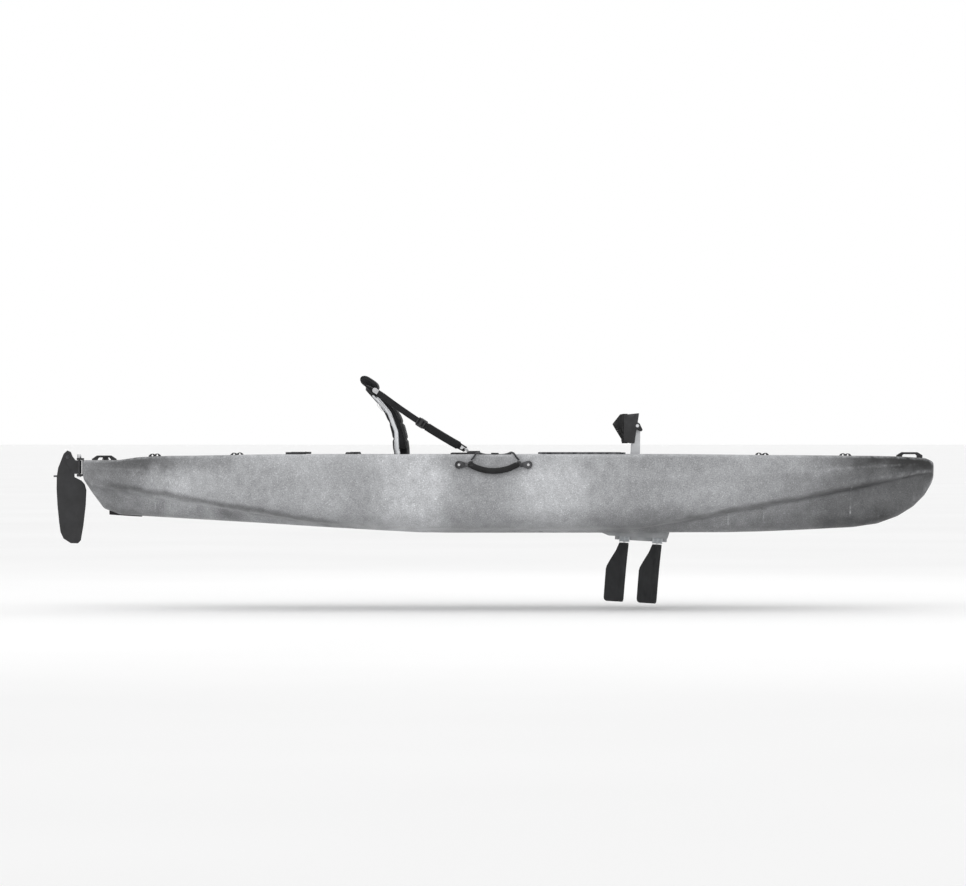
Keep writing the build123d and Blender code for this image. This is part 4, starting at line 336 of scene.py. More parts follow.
def woven(name, dark, light, thread, rough, sheen):
    """Cloth with a plain weave that follows the piece in all three directions."""
    made, tree, shader = start_material(name, specular=0.3, sheen=sheen)
    threads = [wave(tree, axis, thread) for axis in "XYZ"]
    weave = math_node(tree, "MULTIPLY", threads[0], threads[1])
    weave = math_node(tree, "ADD", weave, math_node(tree, "MULTIPLY", threads[1], threads[2]))
    weave = math_node(tree, "ADD", weave, math_node(tree, "MULTIPLY", threads[2], threads[0]))
    weave = math_node(tree, "MULTIPLY", weave, 0.5)
    faded = ramp(tree, noise(tree, 0.09, 4), [(0.3, dark), (0.72, light)])
    shadow = spread(tree, weave, 0.0, 0.9, 0.45, 1.25)
    tone = mix(tree, 1.0, faded, shadow, "MULTIPLY")
    tree.links.new(tone, shader.inputs["Base Color"])
    patchy = spread(tree, noise(tree, 0.03), 0.3, 0.7, rough - 0.06, rough + 0.06)
    tree.links.new(patchy, shader.inputs["Roughness"])
    bump(tree, shader, weave, 0.0004, 0.8)
    bump(tree, shader, noise(tree, 0.035, 3), 0.003, 0.5)
    return made


WEBBING_RIB = 0.0016
WEBBING_CORD = 0.0021


def webbing_material():
    """Ribbed webbing. The piece's own "ribbon" attribute holds metres along and across it."""
    made, tree, shader = start_material("webbing_weave", specular=0.3, sheen=0.12)
    where = node(tree, "Attribute", attribute_name="ribbon")
    split = node(tree, "SeparateXYZ")
    tree.links.new(where.outputs["Vector"], split.inputs[0])
    along, across = split.outputs[0], split.outputs[1]
    rib = math_node(tree, "SINE", math_node(tree, "MULTIPLY", along, 2 * pi / WEBBING_RIB))
    cord = math_node(tree, "SINE", math_node(tree, "MULTIPLY", across, 2 * pi / WEBBING_CORD))
    halves = [math_node(tree, "MULTIPLY", wave_of, 0.5) for wave_of in (rib, cord)]
    diagonal = math_node(tree, "ADD", *halves)
    height = spread(tree, diagonal, -1.0, 1.0)
    faded = ramp(tree, noise(tree, 0.05, 4), [(0.3, (0.006, 0.006, 0.007)), (0.7, (0.014, 0.014, 0.016))])
    # painted shade in the dips between the ribs and a painted highlight on their crests
    tone = mix(tree, 1.0, faded, spread(tree, height, 0, 1, 0.5, 1.3), "MULTIPLY")
    tree.links.new(tone, shader.inputs["Base Color"])
    shader.inputs["Roughness"].default_value = 0.75
    bump(tree, shader, height, 0.0003, 0.9)
    return made


def braided():
    """The braided cover of a bungee, dark with a few paler flecks."""
    made, tree, shader = start_material("bungee_braid", specular=0.35, sheen=0.15)
    strands = []
    for mirrored in ((1, 1, 1), (-1, 1, 1)):
        strand = node(tree, "TexWave", bands_direction="DIAGONAL", in_Scale=160.0, in_Distortion=0.6)
        tree.links.new(place(tree, mirrored), strand.inputs["Vector"])
        strands.append(strand.outputs["Fac"])
    braid = math_node(tree, "MAXIMUM", *strands)
    fleck = spread(tree, noise(tree, 0.002, 1), 0.64, 0.70)
    # painted shade in the grooves between the strands, lighter on their crests
    tone = ramp(tree, braid, [(0.2, (0.010, 0.010, 0.011)), (0.9, (0.040, 0.041, 0.045))])
    tree.links.new(mix(tree, fleck, tone, (0.16, 0.17, 0.18)), shader.inputs["Base Color"])
    shader.inputs["Roughness"].default_value = 0.7
    bump(tree, shader, braid, 0.0004, 0.9)
    return made


def grey(level):
    """Linear grey from a display level of 0 to 255, a little cool."""
    linear = ((level / 255 + 0.055) / 1.055) ** 2.4
    return (linear * 0.985, linear, linear * 1.03)


# tone of the marbled hull at three heights, as (metres along it from amidships, display level); besides the
# marble's own greys the levels hold painted shade: darker in the low band, in the side hollows near bow and
# stern, and high up at both ends
HULL_SPAN = (-1.83, 1.83)
TONES_HIGH = [
    (-1.80, 120), (-1.68, 92), (-1.56, 84), (-1.44, 112), (-1.30, 142), (-1.10, 160), (-0.90, 176),
    (-0.70, 160), (-0.50, 176), (-0.36, 184), (-0.26, 152), (-0.05, 146), (0.10, 164), (0.22, 176),
    (0.36, 156), (0.55, 145), (0.80, 148), (1.05, 160), (1.30, 146), (1.44, 124), (1.56, 82),
    (1.68, 46), (1.80, 38),
]
TONES_MIDDLE = [
    (-1.80, 130), (-1.64, 116), (-1.52, 150), (-1.36, 178), (-1.20, 160), (-1.00, 158), (-0.80, 166),
    (-0.62, 154), (-0.48, 186), (-0.34, 188), (-0.25, 150), (-0.08, 152), (0.06, 162), (0.16, 184),
    (0.28, 178), (0.40, 158), (0.52, 148), (0.70, 154), (0.90, 158), (1.10, 148), (1.26, 132),
    (1.40, 112), (1.58, 96), (1.76, 84),
]
TONES_LOW = [
    (-1.80, 90), (-1.62, 78), (-1.40, 118), (-1.20, 122), (-1.00, 148), (-0.80, 156), (-0.60, 152),
    (-0.48, 182), (-0.34, 176), (-0.25, 146), (0.00, 146), (0.14, 164), (0.28, 160), (0.42, 136),
    (0.60, 118), (0.85, 132), (1.05, 120), (1.25, 104), (1.40, 78), (1.56, 58), (1.76, 48),
]

# the long hollows in the sides, as (x, z) in metres at their two ends, where shade is painted into the hull's
# colour
HOLLOW_LINES = [((-1.802, 0.223), (-0.650, 0.021)), ((0.681, 0.043), (1.649, 0.226))]


def hollow_shadow(tree, x, z, start, end):
    """A multiplier that is low along the line from start to end and 1 away from it."""
    slope = (end[1] - start[1]) / (end[0] - start[0])
    line = math_node(tree, "ADD", math_node(tree, "MULTIPLY", x, slope), start[1] - slope * start[0])
    wander = math_node(tree, "MULTIPLY", math_node(tree, "SUBTRACT", noise(tree, 0.08, 3), 0.5), 0.03)
    gap = math_node(tree, "ABSOLUTE", math_node(tree, "ADD", math_node(tree, "SUBTRACT", z, line), wander))
    band = spread(tree, gap, 0.020, 0.004)
    inside = math_node(tree, "MULTIPLY", spread(tree, x, start[0], start[0] + 0.12),
                       spread(tree, x, end[0], end[0] - 0.12))
    return spread(tree, math_node(tree, "MULTIPLY", band, inside), 0.0, 1.0, 1.0, 0.5)


def hull_material():
    """Two greys of moulding powder that drifted into clouds and bands, with a fine speckle, and painted
    shade: darker low down, along the hollows in the sides and high up at the bow and stern.
    """
    made, tree, shader = start_material("hull_marble", specular=0.42)
    split = node(tree, "SeparateXYZ")
    tree.links.new(place(tree), split.inputs[0])
    x, z = split.outputs[0], split.outputs[2]
    clouds = math_node(tree, "SUBTRACT", noise(tree, 0.16, 4, (1, 1, 0.6)), 0.5)
    drift = math_node(tree, "MULTIPLY", clouds, 0.34)
    moved = math_node(tree, "ADD", x, drift)
    along = spread(tree, moved, *HULL_SPAN)
    span = HULL_SPAN[1] - HULL_SPAN[0]
    bands = [
        ramp(tree, along, [((at - HULL_SPAN[0]) / span, grey(level)) for at, level in tones])
        for tones in (TONES_LOW, TONES_MIDDLE, TONES_HIGH)
    ]
    lift = math_node(tree, "MULTIPLY", math_node(tree, "SUBTRACT", noise(tree, 0.11, 3), 0.5), 0.14)
    height = math_node(tree, "ADD", z, lift)
    # the three bands carry painted shade as well as the marble: the low band is darker than the middle and
    # high ones
    lower = mix(tree, spread(tree, height, 0.05, 0.13), bands[0], bands[1])
    tone = mix(tree, spread(tree, height, 0.235, 0.30), lower, bands[2])
    smoky = spread(tree, noise(tree, 0.045, 6, (1, 1, 0.8), 0.65), 0.3, 0.7, 0.84, 1.15)
    tone = mix(tree, 1.0, tone, smoky, "MULTIPLY")
    speckle = spread(tree, noise(tree, 0.0042, 2, rough=0.7), 0.32, 0.68, 0.74, 1.26)
    tone = mix(tree, 1.0, tone, speckle, "MULTIPLY")
    grains = spread(tree, noise(tree, 0.006, 1), 0.62, 0.68, 1.0, 1.35)
    tone = mix(tree, 1.0, tone, grains, "MULTIPLY")
    # painted shade along the hollows in the sides
    for start, end in HOLLOW_LINES:
        tone = mix(tree, 1.0, tone, hollow_shadow(tree, x, z, start, end), "MULTIPLY")
    # painted shade along the top of the bow
    painted_shade_high_bow = math_node(tree, "MULTIPLY", spread(tree, height, 0.285, 0.305), spread(tree, moved, 1.15, 1.5))
    tone = mix(tree, 1.0, tone, spread(tree, painted_shade_high_bow, 0, 1, 1.0, 0.55), "MULTIPLY")
    # paler along convex edges and creases: partly scuffed plastic, partly a painted highlight
    scuffs_and_crease_highlight = math_node(tree, "MULTIPLY", wear(tree, 0.505, 0.53), 0.55)
    tone = mix(tree, scuffs_and_crease_highlight, tone, grey(214))
    tree.links.new(tone, shader.inputs["Base Color"])
    tree.links.new(spread(tree, noise(tree, 0.05, 4), 0.3, 0.7, 0.42, 0.60), shader.inputs["Roughness"])
    bump(tree, shader, noise(tree, 0.0022, 2), 0.00025, 0.6)
    bump(tree, shader, noise(tree, 0.09, 2), 0.004, 0.25)
    return made


def level(value):
    """A neutral linear grey."""
    return (value, value, value)


BLACK_MOULDING = ((0.009, 0.009, 0.010), (0.020, 0.020, 0.022))
FINISH = {
    "hull_shell": hull_material(),
    "black_plastic": moulded(
        "black_plastic", *BLACK_MOULDING, rough=0.48, grain=0.0012, grain_depth=0.00012,
        edge=(0.09, 0.09, 0.095)),
    "black_rubber": moulded(
        "black_rubber", level(0.006), (0.013, 0.013, 0.014), rough=0.66, grain=0.0016, grain_depth=0.0002,
        edge=level(0.06), specular=0.35),
    "fin_rubber": moulded(
        "fin_rubber", (0.010, 0.011, 0.012), (0.020, 0.021, 0.023), rough=0.58, grain=0.0022,
        grain_depth=0.0003, edge=(0.09, 0.09, 0.095), specular=0.4),
    "sprocket": moulded(
        "sprocket_plastic", (0.40, 0.42, 0.44), (0.56, 0.58, 0.60), rough=0.38, grain=0.0010,
        grain_depth=0.00008, edge=(0.70, 0.71, 0.72)),
    "aluminium_tube": metal("aluminium", (0.74, 0.75, 0.77), 0.34, (1, 1, 0.05), (0.86, 0.87, 0.88)),
    "black_aluminium": metal("black_anodised", (0.045, 0.046, 0.05), 0.40, (0.04, 1, 1), (0.32, 0.32, 0.33)),
    "steel": metal("stainless_steel", (0.62, 0.62, 0.63), 0.26, (1, 0.1, 1), (0.80, 0.80, 0.81)),
    "seat_fabric": woven(
        "seat_cloth", (0.006, 0.006, 0.007), (0.015, 0.016, 0.018), thread=0.0024, rough=0.82, sheen=0.12),
    "webbing": webbing_material(),
    "cord": braided(),
    "seal": moulded(
        "seal_foam", level(0.03), level(0.055), rough=0.85, grain=0.0012, grain_depth=0.0003,
        edge=level(0.07)),
}


def paint(piece, slot):
    piece.data.materials.clear()
    piece.data.materials.append(FINISH[slot])
    return piece


SLOT_OF = {part["node"]: part["material_slot"] for part in frame["record"]["subparts"]}
for name, piece in nodes.items():
    paint(piece, SLOT_OF[name])


def housing_material():
    """Black moulding above the bottom of the hull, and below it the pale case that carries the fins."""
    made, tree, shader = start_material("drive_two_tone", specular=0.5)
    split = node(tree, "SeparateXYZ")
    tree.links.new(place(tree), split.inputs[0])
    pale_case = spread(tree, split.outputs[2], 0.001, -0.001)
    cloud = noise(tree, 0.05, 5)
    black = ramp(tree, cloud, list(zip((0.3, 0.7), BLACK_MOULDING)))
    pale_tone = ramp(tree, cloud, [(0.3, (0.30, 0.31, 0.32)), (0.7, (0.44, 0.45, 0.46))])
    tone = mix(tree, wear(tree), mix(tree, pale_case, black, pale_tone), (0.30, 0.30, 0.31))
    tree.links.new(tone, shader.inputs["Base Color"])
    tree.links.new(spread(tree, noise(tree, 0.02, 4), 0.3, 0.7, 0.38, 0.54), shader.inputs["Roughness"])
    bump(tree, shader, noise(tree, 0.0012, 2), 0.00012, 0.7)
    return made


nodes["drive_housing"].data.materials.clear()
nodes["drive_housing"].data.materials.append(housing_material())


# ---------------------------------------------------------------- hull skin
SEAT_FLOOR_Z = 150.0
HATCH = (170.0, 0.0)
HATCH_HOLE_R = 75.8
HATCH_MARGIN = 1.5
HATCH_WALL_Z = (140.0, 150.4)
HATCH_CUT_Z = (60.0, 200.0)
PLUG = (-1740.0, 62.0)
PLUG_WALL_R = 9.0
PLUG_MARGIN = 0.6
PLUG_WALL_LOW_Z = 295.0
PLUG_HOLE_R = 9.4
PLUG_CUT_Z = (285.0, 330.0)
ROD_HOLDER = (-905.0, 300.0, 335.0)
ROD_HOLDER_LEAN = radians(28)
ROD_HOLDER_AXIS = Vector((-sin(ROD_HOLDER_LEAN), 0, cos(ROD_HOLDER_LEAN)))
ROD_HOLDER_WALL_R = 24.0
ROD_HOLDER_MARGIN = 0.8
ROD_HOLDER_REACH = 30.0
ROD_HOLDER_BELOW = 222.0
ROD_HOLDER_R = 24.3
HULL_VOXEL = 0.0055
TOUCHING = 1e-5  # metres between the centres of two faces that touch
WELD = 1e-4  # metres within which points of the skin become one


def near_hole(centre):
    """Whether a face of the hull lies on the wall of a hole cut through its skin."""
    x, y, z = centre / MM
    from_hatch = Vector((x - HATCH[0], y - HATCH[1])).length - HATCH_HOLE_R
    hatch = abs(from_hatch) < HATCH_MARGIN and HATCH_WALL_Z[0] < z < HATCH_WALL_Z[1]
    from_plug = Vector((x - PLUG[0], y - PLUG[1])).length - PLUG_WALL_R
    plug = abs(from_plug) < PLUG_MARGIN and z > PLUG_WALL_LOW_Z
    out = Vector((x - ROD_HOLDER[0], abs(y) - ROD_HOLDER[1], z - ROD_HOLDER[2]))
    along = out.dot(ROD_HOLDER_AXIS)
    from_holder = (out - along * ROD_HOLDER_AXIS).length - ROD_HOLDER_WALL_R
    rod_holder = abs(from_holder) < ROD_HOLDER_MARGIN and abs(along) < ROD_HOLDER_REACH
    return hatch or plug or rod_holder


def meets_another(tree, face):
    """Whether the face lies against one that faces the other way, where two solids of the hull touch."""
    around = tree.find_nearest_range(face.calc_center_median(), TOUCHING)
    return any(normal.dot(face.normal) < -0.99 for _, normal, _, _ in around)


def hull_skin():
    """The outside of the hull alone, for the remesh that gives it the soft edges of a rotational moulding."""
    work = bmesh.new()
    work.from_mesh(nodes["hull"].data)
    work.faces.ensure_lookup_table()
    tree = BVHTree.FromBMesh(work)
    hidden = []
    for face in work.faces:
        if near_hole(face.calc_center_median()) or meets_another(tree, face):
            hidden.append(face)
    bmesh.ops.delete(work, geom=hidden, context="FACES")
    bmesh.ops.remove_doubles(work, verts=work.verts, dist=WELD)
    work.verts.ensure_lookup_table()
    lowest = min((v for v in work.verts if v.link_faces), key=lambda v: v.co.z)
    outside, queue = {lowest}, [lowest]
    while queue:
        for edge in queue.pop().link_edges:
            for vert in edge.verts:
                if vert not in outside:
                    outside.add(vert)
                    queue.append(vert)
    bmesh.ops.delete(work, geom=[v for v in work.verts if v not in outside], context="VERTS")
    bmesh.ops.holes_fill(work, edges=work.edges, sides=0)
    bmesh.ops.recalc_face_normals(work, faces=work.faces)
    mesh = bpy.data.meshes.new("hull_skin")
    work.to_mesh(mesh)
    work.free()
    return new_object("hull_skin", mesh)


hull = remesh(hull_skin(), HULL_VOXEL, smooth=6)
cut(hull, rod("hatch_cut", (*HATCH, HATCH_CUT_Z[0]), (*HATCH, HATCH_CUT_Z[1]), HATCH_HOLE_R, 96))
cut(hull, rod("plug_cut", (*PLUG, PLUG_CUT_Z[0]), (*PLUG, PLUG_CUT_Z[1]), PLUG_HOLE_R))
for side in SIDES.values():
    deck = Vector((ROD_HOLDER[0], side * ROD_HOLDER[1], ROD_HOLDER[2]))
    foot = deck - ROD_HOLDER_BELOW * ROD_HOLDER_AXIS
    cut(hull, rod("rod_holder_cut", foot, deck + ROD_HOLDER_REACH * ROD_HOLDER_AXIS, ROD_HOLDER_R))
shade(hull.data, SMOOTH_HULL)
paint(hull, "hull_shell")
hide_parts("hull")
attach(hull, "hull")


# ---------------------------------------------------------------- hard pieces with softened edges
EDGES = {  # width of the softened edge, in millimetres
    "drive_housing": 1.6, "drive_axle": 1.0, "drive_latch_front": 1.2, "drive_latch_rear": 1.2,
    "crank_left": 1.6, "crank_right": 1.6, "pedal_left": 1.2, "pedal_right": 1.2,
    "pedal_strap_left": 0.6, "pedal_strap_right": 0.6, "steering_base": 1.2, "steering_handle": 1.2,
    "hatch_ring": 0.8, "hatch_lid": 1.2, "drain_plug": 1.0, "keel_guard": 1.5, "rod_holders": 1.2,
    "gear_tracks": 0.6, "bow_handle": 1.6, "stern_handle": 1.6, "deck_padeyes": 1.0,
    "side_handle_left": 0.6, "side_handle_right": 0.6, "side_handle_tabs": 1.4, "side_handle_screws": 0.5,
    "paddle_keeper_hooks": 1.2, "strap_anchors": 1.4, "anchor_rings": 0.8, "strap_hook_left": 0.7,
    "strap_hook_right": 0.7, "seat_back_frame": 0.4, "seat_brackets": 1.0, "seat_pins": 0.8,
    "seat_hardware": 0.6, "rudder_bracket": 1.2, "rudder_pintle": 0.7, "rudder_yoke": 0.9, "rudder_bolt": 0.7,
}
EDGE_ANGLE = radians(35)
for name, width in EDGES.items():
    add_modifier(nodes[name], "WELD", merge_threshold=1e-5)
    add_modifier(nodes[name], "BEVEL", width=width * MM, segments=2, limit_method="ANGLE",
                 angle_limit=EDGE_ANGLE, harden_normals=True)


# ---------------------------------------------------------------- seat
SWELL_PRESSURE = 4.0
SWELL_FRAMES = 20


def swell(piece, cap, floor=None):
    """Blows a closed cloth form up, by at most cap metres a point, as foam fills its cover."""
    rest = coordinates(piece)
    cloth = add_modifier(piece, "CLOTH")
    settings = cloth.settings
    settings.quality = 4
    settings.mass = 0.3
    settings.tension_stiffness = 25
    settings.compression_stiffness = 25
    settings.bending_stiffness = 3.0
    settings.use_pressure = True
    settings.uniform_pressure_force = SWELL_PRESSURE
    settings.effector_weights.gravity = 0
    cloth.point_cache.frame_start = 1
    cloth.point_cache.frame_end = SWELL_FRAMES
    for step in range(1, SWELL_FRAMES + 1):
        bpy.context.scene.frame_set(step)
    bake_modifiers(piece)
    bpy.context.scene.frame_set(1)
    moved = coordinates(piece) - rest
    length = np.maximum(np.linalg.norm(moved, axis=1), 1e-9)
    moved *= (np.minimum(length, cap) / length)[:, None]
    points = rest + moved
    if floor is not None:
        points[:, 2] = np.maximum(points[:, 2], floor)
    set_coordinates(piece, points)
    add_modifier(piece, "SMOOTH", factor=0.5, iterations=2)
    return subdivide(piece)


def press(piece, distance_of, depth, width):
    """Sews a channel: pushes the surface in where distance_of(points) is near 0, in metres."""
    points = coordinates(piece)
    gap = distance_of(points)
    points -= normals(piece) * (depth * np.exp(-((gap / width) ** 2)))[:, None]
    set_coordinates(piece, points)


def piping(name, target, points, radius, body):
    """A sewn edge that lies on the surface of a padded piece."""
    mesh = target.data
    tree = BVHTree.FromPolygons([v.co for v in mesh.vertices], [p.vertices for p in mesh.polygons])
    laid = []
    for point in points:
        at, normal, _, _ = tree.find_nearest(point)
        laid.append(at + 0.3 * radius * normal)
    line = closed_tube(name, laid, radius)
    paint(line, "seat_fabric")
    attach(line, body)


PIPING_STEP = 6.0


def along_outline(outline):
    """Evenly spaced points, in millimetres, round a closed polyline."""
    points = []
    for start, end in zip(outline, outline[1:] + outline[:1]):
        start, end = Vector(start), Vector(end)
        count = max(1, round((end - start).length / PIPING_STEP))
        points += [start.lerp(end, i / count) for i in range(count)]
    return points


PANEL_SIDE = [
    (-490, 356), (-493, 420), (-505, 466), (-526, 514), (-549, 546), (-586, 588), (-628, 634), (-576, 610),
    (-556, 598), (-521, 562), (-491, 528), (-472, 497), (-456, 453), (-443, 404), (-437, 356),
]
PANEL_FOOT = [(-490, 366), (-437, 366), (-434, 279), (-448, 266), (-474, 266)]
PANEL_HALF_W = 216.0
PANEL_FOOT_HALF_W = 180.0
PANEL_SEWN_LOW_Z = 0.30
PANEL_SEWN_Y = 0.205
FAR = 10  # metres: puts a point out of reach of a channel


def joined(name, parts):
    """Several closed forms as one mesh, for a remesh to weld."""
    work = bmesh.new()
    for part in parts:
        work.from_mesh(part.data)
        bpy.data.objects.remove(part)
    mesh = bpy.data.meshes.new(name)
    work.to_mesh(mesh)
    work.free()
    return new_object(name, mesh)


back = joined(
    "seat_back_pad",
    [
        extruded("panel", PANEL_SIDE, -PANEL_HALF_W, PANEL_HALF_W),
        extruded("panel_foot", PANEL_FOOT, -PANEL_FOOT_HALF_W, PANEL_FOOT_HALF_W),
    ],
)
back = swell(remesh(back, 0.006, smooth=3), 0.007)
for channel_y in (-0.078, 0.078):
    press(back, lambda p, y=channel_y: (p[:, 1] - y) + FAR * (p[:, 2] < PANEL_SEWN_LOW_Z), 0.006, 0.006)
for channel_z in (0.400, 0.470, 0.540):
    press(back, lambda p, z=channel_z: (p[:, 2] - z) + FAR * (np.abs(p[:, 1]) > PANEL_SEWN_Y), 0.005, 0.006)
paint(back, "seat_fabric")
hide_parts("seat_back_panel")
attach(back, "seat_back")

for name, side in SIDES.items():
    edge = [(x, side * (PANEL_HALF_W + 3), z) for x, z in PANEL_SIDE]
    path = [p * MM for p in along_outline(edge)]
    piping(f"seat_back_piping_{name}", back, path, 0.0024, "seat_back")

HEAD_CENTRE = (-599.0, 638.0)
HEAD_SLOPE = radians(34)
HEAD_HALF_W = 176.0
HEAD_HALF_L = 46.0
HEAD_HALF_T = 18.5
HEAD_STEPS = 40


def head_ring(y, width, height):
    """A cross-section of the head roll."""
    ring = []
    for i in range(HEAD_STEPS):
        turn = 2 * pi * i / HEAD_STEPS
        along = width * (abs(cos(turn)) ** 0.75) * (1 if cos(turn) > 0 else -1)
        across = height * (abs(sin(turn)) ** 0.85) * (1 if sin(turn) > 0 else -1)
        x = HEAD_CENTRE[0] - along * cos(HEAD_SLOPE) + across * sin(HEAD_SLOPE)
        z = HEAD_CENTRE[1] + along * sin(HEAD_SLOPE) + across * cos(HEAD_SLOPE)
        ring.append((x, y, z))
    return ring


head_rings = []
for i in range(HEAD_STEPS + 1):
    y = -HEAD_HALF_W + 2 * HEAD_HALF_W * i / HEAD_STEPS
    pinch = (1 - ease(abs(y), HEAD_HALF_W - 16, HEAD_HALF_W) * 0.45)
    head_rings.append(head_ring(y, HEAD_HALF_L * pinch, HEAD_HALF_T * pinch))
head = swell(remesh(loft("seat_head_roll", head_rings), 0.005, smooth=1), 0.003)
for channel_y, depth in ((-0.150, 0.0035), (0.150, 0.0035), (-0.06, 0.0025), (0.06, 0.0025)):
    press(head, lambda p, y=channel_y: p[:, 1] - y, depth, 0.004)
paint(head, "seat_fabric")
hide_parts("seat_head_pad")
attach(head, "seat_back")
for name, side in SIDES.items():
    seam = [Vector(p) * MM for p in head_ring(side * (HEAD_HALF_W - 9), HEAD_HALF_L, 19)]
    piping(f"seat_head_piping_{name}", head, seam, 0.002, "seat_back")

CUSHION_X = (-421.0, 6.0)
CUSHION_HALF_W = 174.0
CUSHION_TOP_Z = 180.0
CUSHION_SEWN_LOW_Z = 0.165
CORNER_R = 52.0


def rounded_outline(aft, fore, half_w, corner):
    """A plan of X and Y with round corners."""
    points = []
    for cx, cy, start in (
        (fore - corner, half_w - corner, 0.0),
        (aft + corner, half_w - corner, 90.0),
        (aft + corner, corner - half_w, 180.0),
        (fore - corner, corner - half_w, 270.0),
    ):
        for i in range(9):
            turn = radians(start + 90 * i / 8)
            points.append((cx + corner * cos(turn), cy + corner * sin(turn)))
    return points


cushion_plan = rounded_outline(*CUSHION_X, CUSHION_HALF_W, CORNER_R)
cushion_rings = [[(x, y, z) for x, y in cushion_plan] for z in (SEAT_FLOOR_Z + 1, CUSHION_TOP_Z)]
cushion = remesh(loft("seat_cushion_pad", cushion_rings), 0.006, smooth=5)
cushion = swell(cushion, 0.008, floor=(SEAT_FLOOR_Z + 0.4) * MM)
for channel_x in (-0.330, -0.210, -0.090):
    press(cushion, lambda p, x=channel_x: (p[:, 0] - x) + FAR * (p[:, 2] < CUSHION_SEWN_LOW_Z), 0.006, 0.007)
for channel_y in (-0.085, 0.085):
    press(cushion, lambda p, y=channel_y: (p[:, 1] - y) + FAR * (p[:, 2] < CUSHION_SEWN_LOW_Z), 0.004, 0.006)
paint(cushion, "seat_fabric")
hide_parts("seat_cushion")
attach(cushion, "hull")
rim = [Vector((x, y, CUSHION_TOP_Z + 2)) * MM for x, y in cushion_plan]
piping("seat_cushion_piping", cushion, rim, 0.0024, "hull")


# ---------------------------------------------------------------- straps
STRAP_TOP = (-572.0, 238.0, 606.0)
STRAP_BAR = (-186.0, 340.0, 354.0)
STRAP_SAG = 9.0
WEBBING_HALF_W = 12.5
WEBBING_HALF_T = 1.2
WEBBING_ENDS = (16, 20)  # how far the webbing stops short of the top rivet and of the hook's bar
FOLD_SPANS = {"top": (18, 62), "low": (444, 470)}
FOLD_HALF_T = 2.1
SLEEVE_SPAN = (268, 440)
SLEEVE_HALF_W = 17
SLEEVE_HALF_T = 7
BINDINGS_AT = (276, 432)
BUCKLE_SPAN = (226, 264)
BUCKLE_HALF_W = 19.0
BUCKLE_HALF_T = 4.5
BUCKLE_SLOT_HALF_W = 13.5


class StrapLine:
    """Where the strap runs: s is millimetres along it, and the sag is largest at its middle."""

    def __init__(self, side):
        self.top = Vector((STRAP_TOP[0], side * STRAP_TOP[1], STRAP_TOP[2]))
        bar = Vector((STRAP_BAR[0], side * STRAP_BAR[1], STRAP_BAR[2]))
        self.length = (bar - self.top).length
        self.along = (bar - self.top).normalized()
        self.out = Vector((self.along.y, -self.along.x, 0)).normalized()
        self.up = self.out.cross(self.along)

    def at(self, s, across=0.0, out=0.0):
        part = min(1.0, max(0.0, s / self.length))
        sag = 4 * STRAP_SAG * part * (1 - part)
        return self.top + s * self.along + (across - sag) * self.up + out * self.out

    def ribbon(self, name, start, end, half_w, half_t, steps, profile=None, power=4.0, sides=28):
        """A flat bar along the strap, its edges rounded, with metres along and across kept on it."""
        rings, ribbon = [], []
        for i in range(steps + 1):
            part = i / steps
            s = start + (end - start) * part
            grow_w, grow_t = profile(part) if profile else (1.0, 1.0)
            ring = []
            for k in range(sides):
                turn = 2 * pi * k / sides
                across = half_w * grow_w * abs(cos(turn)) ** (2 / power) * (1 if cos(turn) > 0 else -1)
                out = half_t * grow_t * abs(sin(turn)) ** (2 / power) * (1 if sin(turn) > 0 else -1)
                ring.append(self.at(s, across, out))
                ribbon.append((s * MM, across * MM, 0.0))
            rings.append(ring)
        piece = loft(name, rings)
        attribute = piece.data.attributes.new("ribbon", "FLOAT_VECTOR", "POINT")
        attribute.data.foreach_set("vector", np.array(ribbon).reshape(-1))
        return piece


def sleeve_profile(part):
    """How wide and how thick the sleeve is at a part of its length, as shares of its middle."""
    end = ease(part, 0.0, 0.07) * ease(1 - part, 0.0, 0.07)
    return 0.80 + 0.20 * end, 0.45 + 0.55 * end


def buckle(name, line, start, end):
    """A ladder-lock: a frame with three bars that the webbing winds through."""
    middle, half_l = (start + end) / 2, (end - start) / 2
    half_w, half_t, slot = BUCKLE_HALF_W, BUCKLE_HALF_T, BUCKLE_SLOT_HALF_W
    outline = [(-half_l + 4, -half_w), (half_l - 4, -half_w), (half_l, -half_w + 5), (half_l, half_w - 5),
               (half_l - 4, half_w), (-half_l + 4, half_w), (-half_l, half_w - 5), (-half_l, -half_w + 5)]
    rings = [[line.at(middle + a, b * shrink, t) for a, b in outline]
             for t, shrink in ((-half_t, 0.94), (-half_t + 1.2, 1.0), (half_t - 1.2, 1.0), (half_t, 0.94))]
    body = loft(name, rings)
    for low, high in ((-half_l + 5, -half_l + 13), (half_l - 13, half_l - 5)):
        window = [(low, -slot), (high, -slot), (high, slot), (low, slot)]
        cutter = loft("window", [[line.at(middle + a, b, t) for a, b in window] for t in (-12, 12)])
        cut(body, cutter)
    add_modifier(body, "BEVEL", width=0.0007, segments=2, limit_method="ANGLE", angle_limit=EDGE_ANGLE)
    bake_modifiers(body)
    shade(body.data)
    return body


